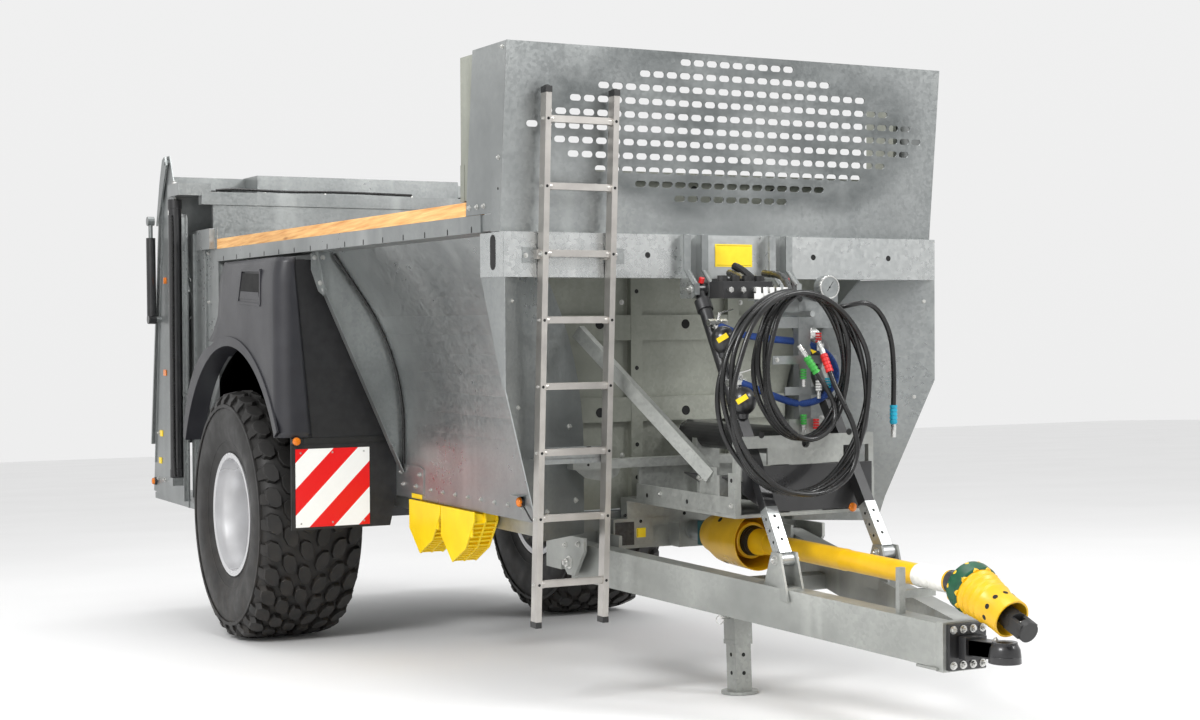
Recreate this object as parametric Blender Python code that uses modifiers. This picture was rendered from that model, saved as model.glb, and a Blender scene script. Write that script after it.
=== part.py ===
"""Push-off manure spreader: single-axle trailer with a tulip-shaped trough,
a push shield on a telescopic cylinder, a guillotine gate, two lying beaters,
two spreading discs and a top-hinged rear flap.

Units are metres.  The machine is modelled level, with X forward from the axle,
Y to the left and Z up from the ground.  One empty then tips it nose-down by
PARK_PITCH, the way it stands parked on its jack.
"""

from math import asin, atan2, cos, hypot, pi, radians, sin, sqrt, tan

import bmesh
import bpy
from mathutils import Matrix, Vector

# ---------------------------------------------------------------- dimensions

GAP = 0.0003                    # between pieces that touch
RUNNING_GAP = 0.0005            # round a rod or tube that slides
SWING_GAP = 0.006               # between pieces that move past each other
SHEET = 0.006                   # folded steel sheet
PARK_PITCH = radians(2.9)       # nose-down on the jack

# running gear
TYRE_RADIUS = 0.717
TYRE_WIDTH = 0.60
TYRE_CENTRE_Y = 0.975
TYRE_CROWN_DROP = 0.022
RIM_FLANGE_RADIUS = 0.355
RIM_SEAT_RADIUS = 0.333
RIM_WIDTH = 0.53
RIM_WALL = 0.010
RIM_DISC_OFFSET = -0.03
WHEEL_STEPS = 36
HUB_RADIUS = 0.085
HUB_LENGTH = 0.12
STUB_RADIUS = 0.045
AXLE_SIZE = 0.11
AXLE_HALF_LENGTH = 0.64

# trough
TROUGH_REAR_X = -0.63
TROUGH_FRONT_X = 3.10
FLOOR_HALF_WIDTH = 0.56
FLOOR_TOP_Z = 0.95
FLOOR_THICKNESS = 0.03
FLOOR_REAR_X = -0.95
WALL_BOTTOM_Z = 0.865
KNEE_Z = 1.24
WALL_ARC_RADIUS = 1.22
WALL_FLARE = radians(35)
RIM_BOTTOM_Z = 2.195
RIM_RAIL_HEIGHT = 0.075
RIM_HALF_WIDTH = 1.12
WOOD_HEIGHT = 0.06
WOOD_WIDTH = 0.09
ARC_SAMPLES = 7

# front end
BEAM_FRONT_X = 3.465
BEAM_DEPTH = 0.12
BEAM_BOTTOM_Z = 2.00
BEAM_TOP_Z = 2.19
CORNER_BEND_Z = 1.53
CORNER_LOW_Z = 0.98
CORNER_LOW_Y = 0.925
CHEEK_TOP_LENGTH = 0.23
PANEL_HEIGHT = 0.79
PANEL_LEAN = 0.08
PANEL_CHEEK_DEPTH = 0.34
LUG_REACH = 0.13
LUG_NECK = 0.05
LUG_HEIGHT = 0.28
STRUT_TOP_X = 3.54
STRUT_TOP_Y = 0.22
STRUT_TOP_Z = 1.95
STRUT_FOOT_X = 4.25
STRUT_FOOT_Y = 0.25
STRUT_FOOT_Z = 0.85
STRUT_EYE_HALF = 0.034
LUG_THICKNESS = 0.010

# ladder
RUNG_SPACING = 0.28
RUNG_COUNT = 8
LADDER_INNER_Y = -0.645
LADDER_OUTER_Y = -0.94
LADDER_LOW_RUNG = (3.42, 0.698)
LADDER_LEAN = 0.057
LADDER_RAIL = 0.05
LADDER_RAIL_WIDTH = 0.026
LADDER_FOOT_DROP = 0.18
LADDER_TOP_RISE = 0.13

# chassis and drawbar
CHASSIS_RAIL_Y = 0.40
CHASSIS_RAIL_WIDTH = 0.10
CHASSIS_REAR_X = -0.60
FRONT_BOX_X = (2.88, 3.03)
WEB_BOTTOM_Z = 0.80
WEB_HEADER = 0.03
WEB_INNER_Y = 0.22
GEARBOX_HALF = 0.078
FRONT_RECESS_HALF = 0.33
FRONT_BOX_HALF = 0.64
FRONT_BOX_BOTTOM_Z = 0.70
WEB_FRONT_X = 3.12
WEB_HALF_WIDTH = 0.42
PIVOT_X = 3.11
PIVOT_Y = 0.5575
PIVOT_Z = 0.74
PIVOT_EAR_INNER = 0.448
PIVOT_EAR_OUTER = 0.640
PIVOT_EAR = 0.015
DRAWBAR_NOSE_X = 5.06
DRAWBAR_NOSE_Y = 0.045
DRAWBAR_NOSE_Z = 0.603
DRAWBAR_WIDTH = 0.10
DRAWBAR_HEIGHT = 0.165
NOSE_PLATE = 0.03
HITCH_PLATE_SIZE = 0.17
HITCH_PLATE = 0.02
HITCH_CUP_X = 5.30
HITCH_CUP_Z = 0.615
HITCH_CUP_RADIUS = 0.06
HITCH_BALL_RADIUS = 0.04

# jack
JACK_X = 3.587
JACK_Y = -0.047
JACK_TUBE = 0.09
JACK_LEG = 0.0785
JACK_SOCKET_BOTTOM = 0.215
JACK_SOCKET_TOP = 0.47
JACK_LEG_TOP = 0.285
JACK_FOOT_RADIUS = 0.082
JACK_FOOT_THICKNESS = 0.012

# drive shaft
SHAFT_Z = 0.853
SHAFT_PIVOT_X = 3.43
SHAFT_FRONT_X = 5.43
SHAFT_DROP = 0.027
SHAFT_TUBE_RADIUS = 0.045
SHAFT_COLLAR_RADIUS = 0.045
SHAFT_CONE_RADII = (0.097, 0.072)
SHAFT_BEND_X = 5.10
SHAFT_FRONT_DROP = 0.13
BELL_RADIUS = 0.13
BELL_REAR_RADIUS = 0.085
BELL_WALL = 0.008
BELL_X = (3.31, 3.68)
HOOK_X = 4.83
HOOK_Y = -0.11

# push shield and its telescopic cylinder
SHIELD_FRONT_X = 3.02
SHIELD_THICKNESS = 0.04
SHIELD_CLEARANCE = 0.008
SHIELD_TOP_Z = 2.97
SHIELD_BOARD_TOP_Z = 2.50
SHIELD_CHEEK = 0.02
SHIELD_CHEEK_REACH = 0.18
SHIELD_UPPER_HALF = 1.10
SHIELD_RIB = 0.035
SHIELD_RAILS = ((1.727, 1.842), (1.356, 1.467))
SHIELD_RIB_Y = 0.26
RAM_Z = 1.30
RAM_REAR_X = 3.07
RAM_FRONT_X = 4.00
RAM_RADIUS = 0.062
RAM_WALL = 0.0085
RAM_STAGES = 3

# front frame that carries the ram
FRAME_BAR_Z = (1.163, 1.203)
FRAME_BAR_HALF = 0.69
FRAME_BAR_DEPTH = 0.06
CONSOLE_FRONT_X = 4.04
CONSOLE_HALF_WIDTH = 0.35
CONSOLE_PLATE = 0.014
CONSOLE_FLOOR_Z = 1.00
CONSOLE_LIP_TOP = 1.085
CONSOLE_END_TOP = 1.40
CONSOLE_END_Z = (1.215, 1.335)
APRON_HALF = 0.19
GUSSET_X = (3.89, 3.91)
GUSSET_TOP_Z = 1.17
BRACE_SHOE_X = (3.74, 3.88)
BRACE_SHOE_TOP_Z = 1.20
BRACE_TOP = (3.17, 0.62, 1.77)
BRACE_FOOT = (3.83, 0.335, 1.16)

# fender and mud board
FENDER_Y = 1.245
FENDER_DEPTH = 0.24
FENDER_WALL = 0.007
FENDER_FRONT_X = 0.878
FENDER_WRAP_LOW_Y = 1.057
FENDER_WRAP_TOP_Y = 1.15
FENDER_TOP_Z = 2.17
FENDER_LOW_FRONT_Z = 1.20
FENDER_REAR_X = -0.62
ARCH_RADIUS = 0.97
BOARD_X = FENDER_FRONT_X - FENDER_WALL - GAP - 0.014
BOARD_THICKNESS = 0.014
BOARD_OUTER_Y = 1.17
BOARD_BOTTOM_Z = 0.70
SIGN_SIZE = 0.423
SIGN_THICKNESS = 0.003
RIB_X = 0.96

# wheel chocks
CHOCK_LENGTH = 0.42
CHOCK_WIDTH = 0.14
CHOCK_HEIGHT = 0.28
CHOCK_REAR_X = (1.13, 1.56)

# rear end
POST_REAR_X = -1.17
OVER_TYRE_Z = 1.20
DECK_WIDE_X = -0.75
POST_TOP_Z = 2.40
DECK_TOP_Z = 0.70
DECK_THICKNESS = 0.04
DECK_REAR_X = -1.92
DECK_FRONT_X = -0.645
GATE_X = (-0.99, -0.96)
GATE_HALF_WIDTH = 1.045
GATE_TOP_Z = 2.56
GATE_BEAM_HEIGHT = 0.08
GATE_SEAT = 0.006
LIFT_X = -1.17
LIFT_Y = 1.23
LIFT_ARM_Z = (2.615, 2.69)
LIFT_RADIUS = 0.044
LIFT_ROD_RADIUS = 0.026
LIFT_BOTTOM_Z = 0.85
LIFT_TOP_Z = 2.60
SIDE_Y = 1.172
SIDE_FRONT_X = -1.10
SIDE_TOP = (-1.60, 2.75)
SIDE_LOW = (-1.93, 0.71)
BEATER_X = -1.37
BEATER_Z = {"lower": 1.33, "upper": 1.98}
BEATER_DRUM_RADIUS = 0.11
BEATER_TIP_RADIUS = 0.29
BEATER_HALF_LENGTH = 1.12
BEATER_TEETH = 12
DISC_X = -1.43
DISC_Y = 0.52
DISC_Z = 0.85
DISC_RADIUS = 0.45
DISC_VANES = 4
FLAP_HINGE = (-1.52, 2.86)
FLAP_THICKNESS = 0.02
FLAP_BOTTOM_Z = 1.02
FLAP_ARM_Y = 1.186
FLAP_ARM = 0.012
FLAP_EYE = (-1.72, 2.49)
FLAP_CYLINDER_Y = 1.24
FLAP_CYLINDER_RADIUS = 0.03
FLAP_ROD_RADIUS = 0.014
FLAP_BARREL_LENGTH = 0.47
FLAP_PIN = (-1.71, 1.85)

# hoses
HOSE_PLANE_X = 4.19
COIL_RADIUS = 0.38
COIL_THICKNESS = 0.08
COIL_TOP_Z = 1.93
COIL_Y = -0.11
HOSE_RADIUS = 0.011
HOLDER_HALF_WIDTH = 0.17
GAUGE_Y = 0.10

RIM_TOP_Z = RIM_BOTTOM_Z + RIM_RAIL_HEIGHT
WOOD_TOP_Z = RIM_TOP_Z + GAP + WOOD_HEIGHT
CORNER_ANGLE = atan2(BEAM_FRONT_X - TROUGH_FRONT_X, RIM_HALF_WIDTH - FLOOR_HALF_WIDTH - SHEET)
SIDES = {"left": 1, "right": -1}

PLANES = {
    "YZ": Matrix(((0, 0, 1, 0), (1, 0, 0, 0), (0, 1, 0, 0), (0, 0, 0, 1))),
    "XZ": Matrix(((1, 0, 0, 0), (0, 0, -1, 0), (0, 1, 0, 0), (0, 0, 0, 1))),
    "XY": Matrix.Identity(4),
}
PLANE_NORMAL = {"YZ": Vector((1, 0, 0)), "XZ": Vector((0, 1, 0)), "XY": Vector((0, 0, 1))}

# ------------------------------------------------------------------ materials

MATERIALS = {
    "galvanised": ((0.50, 0.53, 0.53, 1), 0.42, 0.85),
    "aluminium": ((0.62, 0.62, 0.61, 1), 0.35, 0.9),
    "black_steel": ((0.012, 0.012, 0.013, 1), 0.38, 0.1),
    "black_board": ((0.015, 0.015, 0.016, 1), 0.6, 0.0),
    "fender_plastic": ((0.09, 0.09, 0.10, 1), 0.5, 0.0),
    "rubber": ((0.018, 0.016, 0.015, 1), 0.85, 0.0),
    "rim_silver": ((0.72, 0.73, 0.74, 1), 0.3, 0.6),
    "wood": ((0.80, 0.46, 0.20, 1), 0.7, 0.0),
    "shield_board": ((0.62, 0.63, 0.55, 1), 0.5, 0.0),
    "yellow_plastic": ((0.85, 0.55, 0.02, 1), 0.4, 0.0),
    "hose_rubber": ((0.01, 0.01, 0.011, 1), 0.45, 0.0),
    "blue_cap": ((0.02, 0.08, 0.55, 1), 0.4, 0.0),
}


def make_materials():
    made = {}
    for name, (colour, roughness, metallic) in MATERIALS.items():
        material = bpy.data.materials.new(name)
        material.use_nodes = True
        shader = material.node_tree.nodes["Principled BSDF"]
        shader.inputs["Base Color"].default_value = colour
        shader.inputs["Roughness"].default_value = roughness
        shader.inputs["Metallic"].default_value = metallic
        made[name] = material
    return made


# ------------------------------------------------------------- shape helpers


def clear_scene():
    for old in list(bpy.data.objects):
        bpy.data.objects.remove(old)


def new_collection(name):
    collection = bpy.data.collections.new(name)
    bpy.context.scene.collection.children.link(collection)
    return collection


def add_mesh(bm):
    mesh = bpy.data.meshes.new("piece")
    bmesh.ops.recalc_face_normals(bm, faces=bm.faces)
    bm.to_mesh(mesh)
    bm.free()
    piece = bpy.data.objects.new("piece", mesh)
    bpy.context.scene.collection.objects.link(piece)
    return piece


def bake(piece, merge=0.00001):
    """Replace a piece by its evaluated mesh, welded, in the machine's frame."""
    bpy.context.view_layer.update()
    graph = bpy.context.evaluated_depsgraph_get()
    mesh = bpy.data.meshes.new_from_object(piece.evaluated_get(graph))
    mesh.transform(piece.matrix_basis)
    bm = bmesh.new()
    bm.from_mesh(mesh)
    bmesh.ops.remove_doubles(bm, verts=bm.verts, dist=merge)
    bmesh.ops.dissolve_degenerate(bm, edges=bm.edges, dist=merge)
    bpy.data.meshes.remove(mesh)
    bpy.data.objects.remove(piece)
    return add_mesh(bm)


def block(low, high):
    low = Vector(low)
    high = Vector(high)
    size = high - low
    bm = bmesh.new()
    place = Matrix.Translation((low + high) / 2) @ Matrix.Diagonal((*[abs(s) for s in size], 1))
    bmesh.ops.create_cube(bm, size=1, matrix=place)
    return add_mesh(bm)


def sided_block(side, x, y, z):
    """A block from ranges of X, of distance from the centre plane, and of Z."""
    return block((x[0], side * y[0], z[0]), (x[1], side * y[1], z[1]))


def bar(start, end, width, height):
    """A rectangular bar whose height stays as upright as its run allows."""
    start = Vector(start)
    run = Vector(end) - start
    along = run.normalized()
    across = Vector((0, 0, 1)).cross(along).normalized()
    turn = Matrix((along, across, along.cross(across))).transposed().to_4x4()
    place = Matrix.Translation(start + run / 2) @ turn
    bm = bmesh.new()
    bmesh.ops.create_cube(bm, size=1, matrix=place @ Matrix.Diagonal((run.length, width, height, 1)))
    return add_mesh(bm)


def rod(start, end, radius, end_radius=None, segments=20):
    start = Vector(start)
    run = Vector(end) - start
    turn = run.to_track_quat("Z", "Y").to_matrix().to_4x4()
    far_radius = radius if end_radius is None else end_radius
    bm = bmesh.new()
    bmesh.ops.create_cone(bm, cap_ends=True, segments=segments, radius1=radius, radius2=far_radius,
                          depth=run.length, matrix=Matrix.Translation(start + run / 2) @ turn)
    return add_mesh(bm)


def ball(centre, radius):
    bm = bmesh.new()
    bmesh.ops.create_uvsphere(bm, u_segments=20, v_segments=12, radius=radius,
                              matrix=Matrix.Translation(centre))
    return add_mesh(bm)


def sheet(outline, plane, low, high):
    """A flat outline filled and thickened from low to high along its normal."""
    curve = bpy.data.curves.new("outline", "CURVE")
    curve.dimensions = "2D"
    curve.fill_mode = "BOTH"
    curve.extrude = abs(high - low) / 2
    spline = curve.splines.new("POLY")
    spline.points.add(len(outline) - 1)
    for point, (across, up) in zip(spline.points, outline):
        point.co = (across, up, 0, 1)
    spline.use_cyclic_u = True
    piece = bpy.data.objects.new("outline", curve)
    bpy.context.scene.collection.objects.link(piece)
    piece.matrix_basis = Matrix.Translation(PLANE_NORMAL[plane] * (low + high) / 2) @ PLANES[plane]
    solid = bake(piece, merge=0.0001)
    bpy.data.curves.remove(curve)
    return solid


def turned(profile, centre, axis, steps=WHEEL_STEPS):
    """A closed profile of (radius, place along the axis), turned once round it."""
    mesh = bpy.data.meshes.new("profile")
    count = len(profile)
    mesh.from_pydata([(radius, 0, along) for radius, along in profile],
                     [(i, (i + 1) % count) for i in range(count)], [])
    piece = bpy.data.objects.new("profile", mesh)
    bpy.context.scene.collection.objects.link(piece)
    screw = piece.modifiers.new("turn", "SCREW")
    screw.steps = steps
    screw.render_steps = steps
    screw.use_merge_vertices = True
    screw.merge_threshold = 0.00001
    turn = Vector(axis).to_track_quat("Z", "Y").to_matrix().to_4x4()
    piece.matrix_basis = Matrix.Translation(centre) @ turn
    return bake(piece)


def pipe(points, radius):
    """A round tube through points, with closed ends."""
    curve = bpy.data.curves.new("route", "CURVE")
    curve.dimensions = "3D"
    curve.bevel_depth = radius
    curve.bevel_resolution = 2
    curve.use_fill_caps = True
    spline = curve.splines.new("POLY")
    spline.points.add(len(points) - 1)
    for point, place in zip(spline.points, points):
        point.co = (*place, 1)
    piece = bpy.data.objects.new("route", curve)
    bpy.context.scene.collection.objects.link(piece)
    solid = bake(piece, merge=0.0001)
    bpy.data.curves.remove(curve)
    return solid


def combine(base, others, operation):
    for other in others:
        change = base.modifiers.new("change", "BOOLEAN")
        change.operation = operation
        change.solver = "EXACT"
        change.object = other
    result = bake(base)
    for other in others:
        bpy.data.objects.remove(other)
    return result


def fuse(*pieces):
    return combine(pieces[0], pieces[1:], "UNION")


def carve(base, *cutters):
    return combine(base, cutters, "DIFFERENCE")


def moved(piece, matrix):
    piece.data.transform(matrix)
    return piece


# --------------------------------------------------------- frames and naming


class Assembly:
    """The machine's empty, its collection, and the empties of what moves."""

    def __init__(self):
        self.parts = new_collection("manure_spreader")
        self.materials = make_materials()
        self.machine = self.add_empty("machine", None, (0, 0, 0))
        self.machine.rotation_euler = (0, PARK_PITCH, 0)
        self.machine.location = (-TYRE_RADIUS * sin(PARK_PITCH), 0, TYRE_RADIUS * (1 - cos(PARK_PITCH)))
        self.joints = {}

    def add_empty(self, name, parent, location, tilt=0.0):
        empty = bpy.data.objects.new(name, None)
        empty.empty_display_size = 0.1
        self.parts.objects.link(empty)
        empty.parent = parent
        empty.location = location
        empty.rotation_euler = (0, tilt, 0)
        return empty

    def joint(self, name, location, tilt=0.0):
        """An empty on a joint's axis, placed in the machine's frame."""
        self.joints[name] = self.add_empty("joint_" + name, self.machine, location, tilt)

    def node(self, name, piece, material, joint=None, smooth=40):
        """Name a finished solid, give it its finish and hang it on its frame."""
        bpy.context.scene.collection.objects.unlink(piece)
        self.parts.objects.link(piece)
        piece.name = name
        piece.data.name = name
        piece.data.materials.clear()
        piece.data.materials.append(self.materials[material])
        piece.data.shade_smooth()
        piece.data.set_sharp_from_angle(angle=radians(smooth))
        empty = self.joints[joint] if joint else self.machine
        piece.parent = empty
        if joint:
            piece.matrix_parent_inverse = empty.matrix_basis.inverted()
        return piece


# ------------------------------------------------------------- trough shape


def wall_y(z, offset=0.0):
    """Half width of the trough at a height, offset outwards from its inside."""
    radius = WALL_ARC_RADIUS - offset
    arc_top = KNEE_Z + radius * sin(WALL_FLARE)
    centre_y = FLOOR_HALF_WIDTH + WALL_ARC_RADIUS
    if z <= KNEE_Z:
        return FLOOR_HALF_WIDTH + offset
    if z <= arc_top:
        return centre_y - sqrt(radius ** 2 - (z - KNEE_Z) ** 2)
    return centre_y - radius * cos(WALL_FLARE) + (z - arc_top) * tan(WALL_FLARE)


def wall_edge(low, high, offset=0.0):
    """Points of (half width, height) up the trough's wall between two heights."""
    radius = WALL_ARC_RADIUS - offset
    arc = [KNEE_Z + radius * sin(WALL_FLARE * i / ARC_SAMPLES) for i in range(ARC_SAMPLES + 1)]
    heights = [low] + [z for z in arc if low + 0.01 < z < high - 0.01] + [high]
    return [(wall_y(z, offset), z) for z in heights]


def sided(outline, side):
    return [(side * y, z) for y, z in outline]


def corner_x(y):
    """Where the slanted front corner plate's back face stands at a half width."""
    return TROUGH_FRONT_X + (y - FLOOR_HALF_WIDTH - SHEET) * tan(CORNER_ANGLE)


# -------------------------------------------------------------- static parts


def chassis_frame():
    rail_top = FLOOR_TOP_Z - FLOOR_THICKNESS - GAP
    rail_bottom = TYRE_RADIUS + AXLE_SIZE / 2 + GAP
    half = CHASSIS_RAIL_WIDTH / 2
    rails = [sided_block(side, (CHASSIS_REAR_X, FRONT_BOX_X[0] + 0.02),
                         (CHASSIS_RAIL_Y - half, CHASSIS_RAIL_Y + half), (rail_bottom, rail_top))
             for side in SIDES.values()]
    cross = [block((x, -CHASSIS_RAIL_Y, rail_bottom + 0.02), (x + 0.08, CHASSIS_RAIL_Y, rail_top - 0.01))
             for x in (CHASSIS_REAR_X, 0.9, 2.0)]
    box_front = block((FRONT_BOX_X[0], -FRONT_BOX_HALF, FRONT_BOX_BOTTOM_Z),
                      (FRONT_BOX_X[1], FRONT_BOX_HALF, WALL_BOTTOM_Z - GAP))
    seat = FLOOR_HALF_WIDTH - GAP
    box_top = block((FRONT_BOX_X[0] + 0.002, -seat, WALL_BOTTOM_Z - 0.03), (FRONT_BOX_X[1] - 0.002, seat, rail_top))
    web_rear = FRONT_BOX_X[1] - 0.02
    webs = [sided_block(side, (web_rear, WEB_FRONT_X), (WEB_INNER_Y, WEB_HALF_WIDTH), (WEB_BOTTOM_Z, rail_top))
            for side in SIDES.values()]
    gearbox = block((web_rear, -GEARBOX_HALF, SHAFT_Z - GEARBOX_HALF), (WEB_FRONT_X, GEARBOX_HALF, rail_top))
    header = block((web_rear, -WEB_HALF_WIDTH, rail_top - WEB_HEADER), (WEB_FRONT_X, WEB_HALF_WIDTH, rail_top))
    web_top = block((WEB_FRONT_X - 0.06, -CONSOLE_HALF_WIDTH, rail_top - 0.02),
                    (WEB_FRONT_X - 0.002, CONSOLE_HALF_WIDTH, CONSOLE_FLOOR_Z - GAP))
    ears = []
    for side in SIDES.values():
        for inner in (PIVOT_EAR_INNER, PIVOT_EAR_OUTER - PIVOT_EAR):
            ears.append(pivot_ear(side, inner))
    collar = rod((WEB_FRONT_X - 0.02, 0, SHAFT_Z), (BELL_X[0] - GAP, 0, SHAFT_Z), SHAFT_COLLAR_RADIUS)
    spline_end = SHAFT_PIVOT_X - SHAFT_TUBE_RADIUS * 0.8 - RUNNING_GAP
    spline_shaft = rod((WEB_FRONT_X, 0, SHAFT_Z), (spline_end, 0, SHAFT_Z), 0.02, segments=12)
    frame = fuse(*rails, *cross, box_front, box_top, *webs, gearbox, header, web_top, *ears, collar, spline_shaft)
    recess = block((FRONT_BOX_X[0] - 0.05, -FRONT_RECESS_HALF, FRONT_BOX_BOTTOM_Z - 0.05),
                   (FRONT_BOX_X[1] + 0.05, FRONT_RECESS_HALF, rail_bottom))
    return carve(frame, recess)


def pivot_ear(side, inner_y):
    back = FRONT_BOX_X[1] - 0.02
    outline = [(back, 0.86), (PIVOT_X + 0.14, 0.86), (PIVOT_X + 0.14, 0.80),
               (PIVOT_X + 0.05, PIVOT_Z - 0.055), (PIVOT_X - 0.02, PIVOT_Z - 0.055), (back, 0.76)]
    ends = sorted((side * inner_y, side * (inner_y + PIVOT_EAR)))
    return sheet(outline, "XZ", *ends)


def axle_beam():
    half = AXLE_SIZE / 2
    beam = block((-half, -AXLE_HALF_LENGTH, TYRE_RADIUS - half), (half, AXLE_HALF_LENGTH, TYRE_RADIUS + half))
    reach = TYRE_CENTRE_Y + RIM_DISC_OFFSET + HUB_LENGTH / 2 + 0.02
    stub = rod((0, -reach, TYRE_RADIUS), (0, reach, TYRE_RADIUS), STUB_RADIUS, segments=24)
    return fuse(beam, stub)


def trough_wall(side):
    inner = wall_edge(WALL_BOTTOM_Z, RIM_BOTTOM_Z + 0.004)
    outer = wall_edge(WALL_BOTTOM_Z, RIM_BOTTOM_Z + 0.004, SHEET)
    front = corner_x(RIM_HALF_WIDTH)
    skin = sheet(sided(inner + outer[::-1], side), "YZ", TROUGH_REAR_X, front)
    rib = side_rib(side)
    wall = fuse(skin, rib)
    rim_inner = wall_y(RIM_BOTTOM_Z)
    rim = sided_block(side, (TROUGH_REAR_X, BEAM_FRONT_X - CHEEK_TOP_LENGTH - GAP), (rim_inner, RIM_HALF_WIDTH),
                      (RIM_BOTTOM_Z, RIM_TOP_Z))
    rim_tongue = sided_block(side, (BEAM_FRONT_X - CHEEK_TOP_LENGTH - 0.05, BEAM_FRONT_X - BEAM_DEPTH - GAP),
                             (rim_inner + 0.002, RIM_HALF_WIDTH - SHEET - GAP), (RIM_BOTTOM_Z + 0.002, RIM_TOP_Z - 0.002))
    above_beam = sided_block(side, (BEAM_FRONT_X - BEAM_DEPTH - GAP, 4), (0.5, 1.5), (BEAM_BOTTOM_Z - 0.05, 2.5))
    trimmed = carve(wall, corner_cutter(side), above_beam)
    return fuse(trimmed, rim, rim_tongue)


def corner_cutter(side):
    """A slab that cuts the wall's front edge along the slanted corner plate."""
    size = 1.6
    cutter = block((0, -size, 0), (size, size, RIM_BOTTOM_Z + 0.1))
    turn = Matrix.Rotation(-side * CORNER_ANGLE, 4, "Z")
    hinge = Matrix.Translation((TROUGH_FRONT_X, side * (FLOOR_HALF_WIDTH + SHEET), 0))
    return moved(cutter, hinge @ turn)


def side_rib(side):
    """Curved rib on the wall with a straight outer edge, folded to a flange."""
    low = 1.0
    top = (1.06, RIM_BOTTOM_Z + 0.002)
    kink = (1.013, 1.97)
    foot = (FLOOR_HALF_WIDTH + SHEET + 0.012, low)
    outline = wall_edge(low, RIM_BOTTOM_Z + 0.002, SHEET / 2) + [top, kink, foot]
    web = sheet(sided(outline, side), "YZ", RIB_X, RIB_X + SHEET)
    flange_low = bar((RIB_X + 0.025, side * foot[0], low), (RIB_X + 0.025, side * kink[0], kink[1]), 0.05, SHEET)
    flange_top = bar((RIB_X + 0.025, side * kink[0], kink[1] - 0.01), (RIB_X + 0.025, side * top[0], top[1]),
                     0.05, SHEET)
    return fuse(web, flange_low, flange_top)


def trough_floor():
    return block((FLOOR_REAR_X, -FLOOR_HALF_WIDTH + GAP, FLOOR_TOP_Z - FLOOR_THICKNESS),
                 (TROUGH_FRONT_X - 0.05, FLOOR_HALF_WIDTH - GAP, FLOOR_TOP_Z))


def wood_rail(side):
    return sided_block(side, (TROUGH_REAR_X, BEAM_FRONT_X - 0.045 - PANEL_CHEEK_DEPTH - GAP),
                       (RIM_HALF_WIDTH - WOOD_WIDTH, RIM_HALF_WIDTH), (RIM_TOP_Z + GAP, WOOD_TOP_Z))


def front_corner(side):
    """Slanted plate from the trough's front edge out to the front beam's end."""
    run = hypot(BEAM_FRONT_X - TROUGH_FRONT_X, RIM_HALF_WIDTH - FLOOR_HALF_WIDTH - SHEET)
    scale = 1 / cos(CORNER_ANGLE)
    start_y = FLOOR_HALF_WIDTH + SHEET
    top = BEAM_BOTTOM_Z - GAP
    inner = [((y - start_y) * scale, z) for y, z in wall_edge(WALL_BOTTOM_Z, top, SHEET)]
    outer = [(run, top), (run, CORNER_BEND_Z), ((CORNER_LOW_Y - start_y) * scale, CORNER_LOW_Z),
             ((CORNER_LOW_Y - 0.03 - start_y) * scale, WALL_BOTTOM_Z)]
    plate = sheet([(side * u, z) for u, z in inner + outer], "YZ", GAP, GAP + SHEET)
    turn = Matrix.Rotation(-side * CORNER_ANGLE, 4, "Z")
    place = Matrix.Translation((TROUGH_FRONT_X, side * start_y, 0)) @ turn
    cheek_outline = [(BEAM_FRONT_X - CHEEK_TOP_LENGTH, top), (BEAM_FRONT_X, top),
                     (BEAM_FRONT_X, CORNER_BEND_Z), (BEAM_FRONT_X - 0.015, CORNER_BEND_Z)]
    ends = sorted((side * RIM_HALF_WIDTH, side * (RIM_HALF_WIDTH - SHEET)))
    cheek = sheet(cheek_outline, "XZ", *ends)
    return fuse(moved(plate, place), cheek)


def front_beam():
    beam = block((BEAM_FRONT_X - BEAM_DEPTH, -RIM_HALF_WIDTH, BEAM_BOTTOM_Z),
                 (BEAM_FRONT_X, RIM_HALF_WIDTH, BEAM_TOP_Z))
    lugs = [sided_block(side, (BEAM_FRONT_X - CHEEK_TOP_LENGTH, BEAM_FRONT_X - 0.002),
                        (RIM_HALF_WIDTH - SHEET, RIM_HALF_WIDTH + 0.003), (BEAM_BOTTOM_Z + 0.002, BEAM_TOP_Z - 0.002))
            for side in SIDES.values()]
    centre_z = (STRUT_TOP_Z + BEAM_TOP_Z) / 2 - 0.02
    for side in SIDES.values():
        for y in (STRUT_TOP_Y - STRUT_EYE_HALF - LUG_THICKNESS, STRUT_TOP_Y + STRUT_EYE_HALF):
            tip = BEAM_FRONT_X + LUG_REACH
            outline = [(BEAM_FRONT_X - 0.01, centre_z - LUG_HEIGHT / 2),
                       (STRUT_TOP_X + 0.02, centre_z - LUG_HEIGHT / 2), (tip, STRUT_TOP_Z - 0.02),
                       (tip, STRUT_TOP_Z + 0.02), (BEAM_FRONT_X + LUG_NECK, STRUT_TOP_Z + 0.09),
                       (BEAM_FRONT_X + LUG_NECK, centre_z + LUG_HEIGHT / 2),
                       (BEAM_FRONT_X - 0.01, centre_z + LUG_HEIGHT / 2)]
            ends = sorted((side * y, side * (y + LUG_THICKNESS)))
            lugs.append(sheet(outline, "XZ", *ends))
    return fuse(beam, *lugs)


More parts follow.
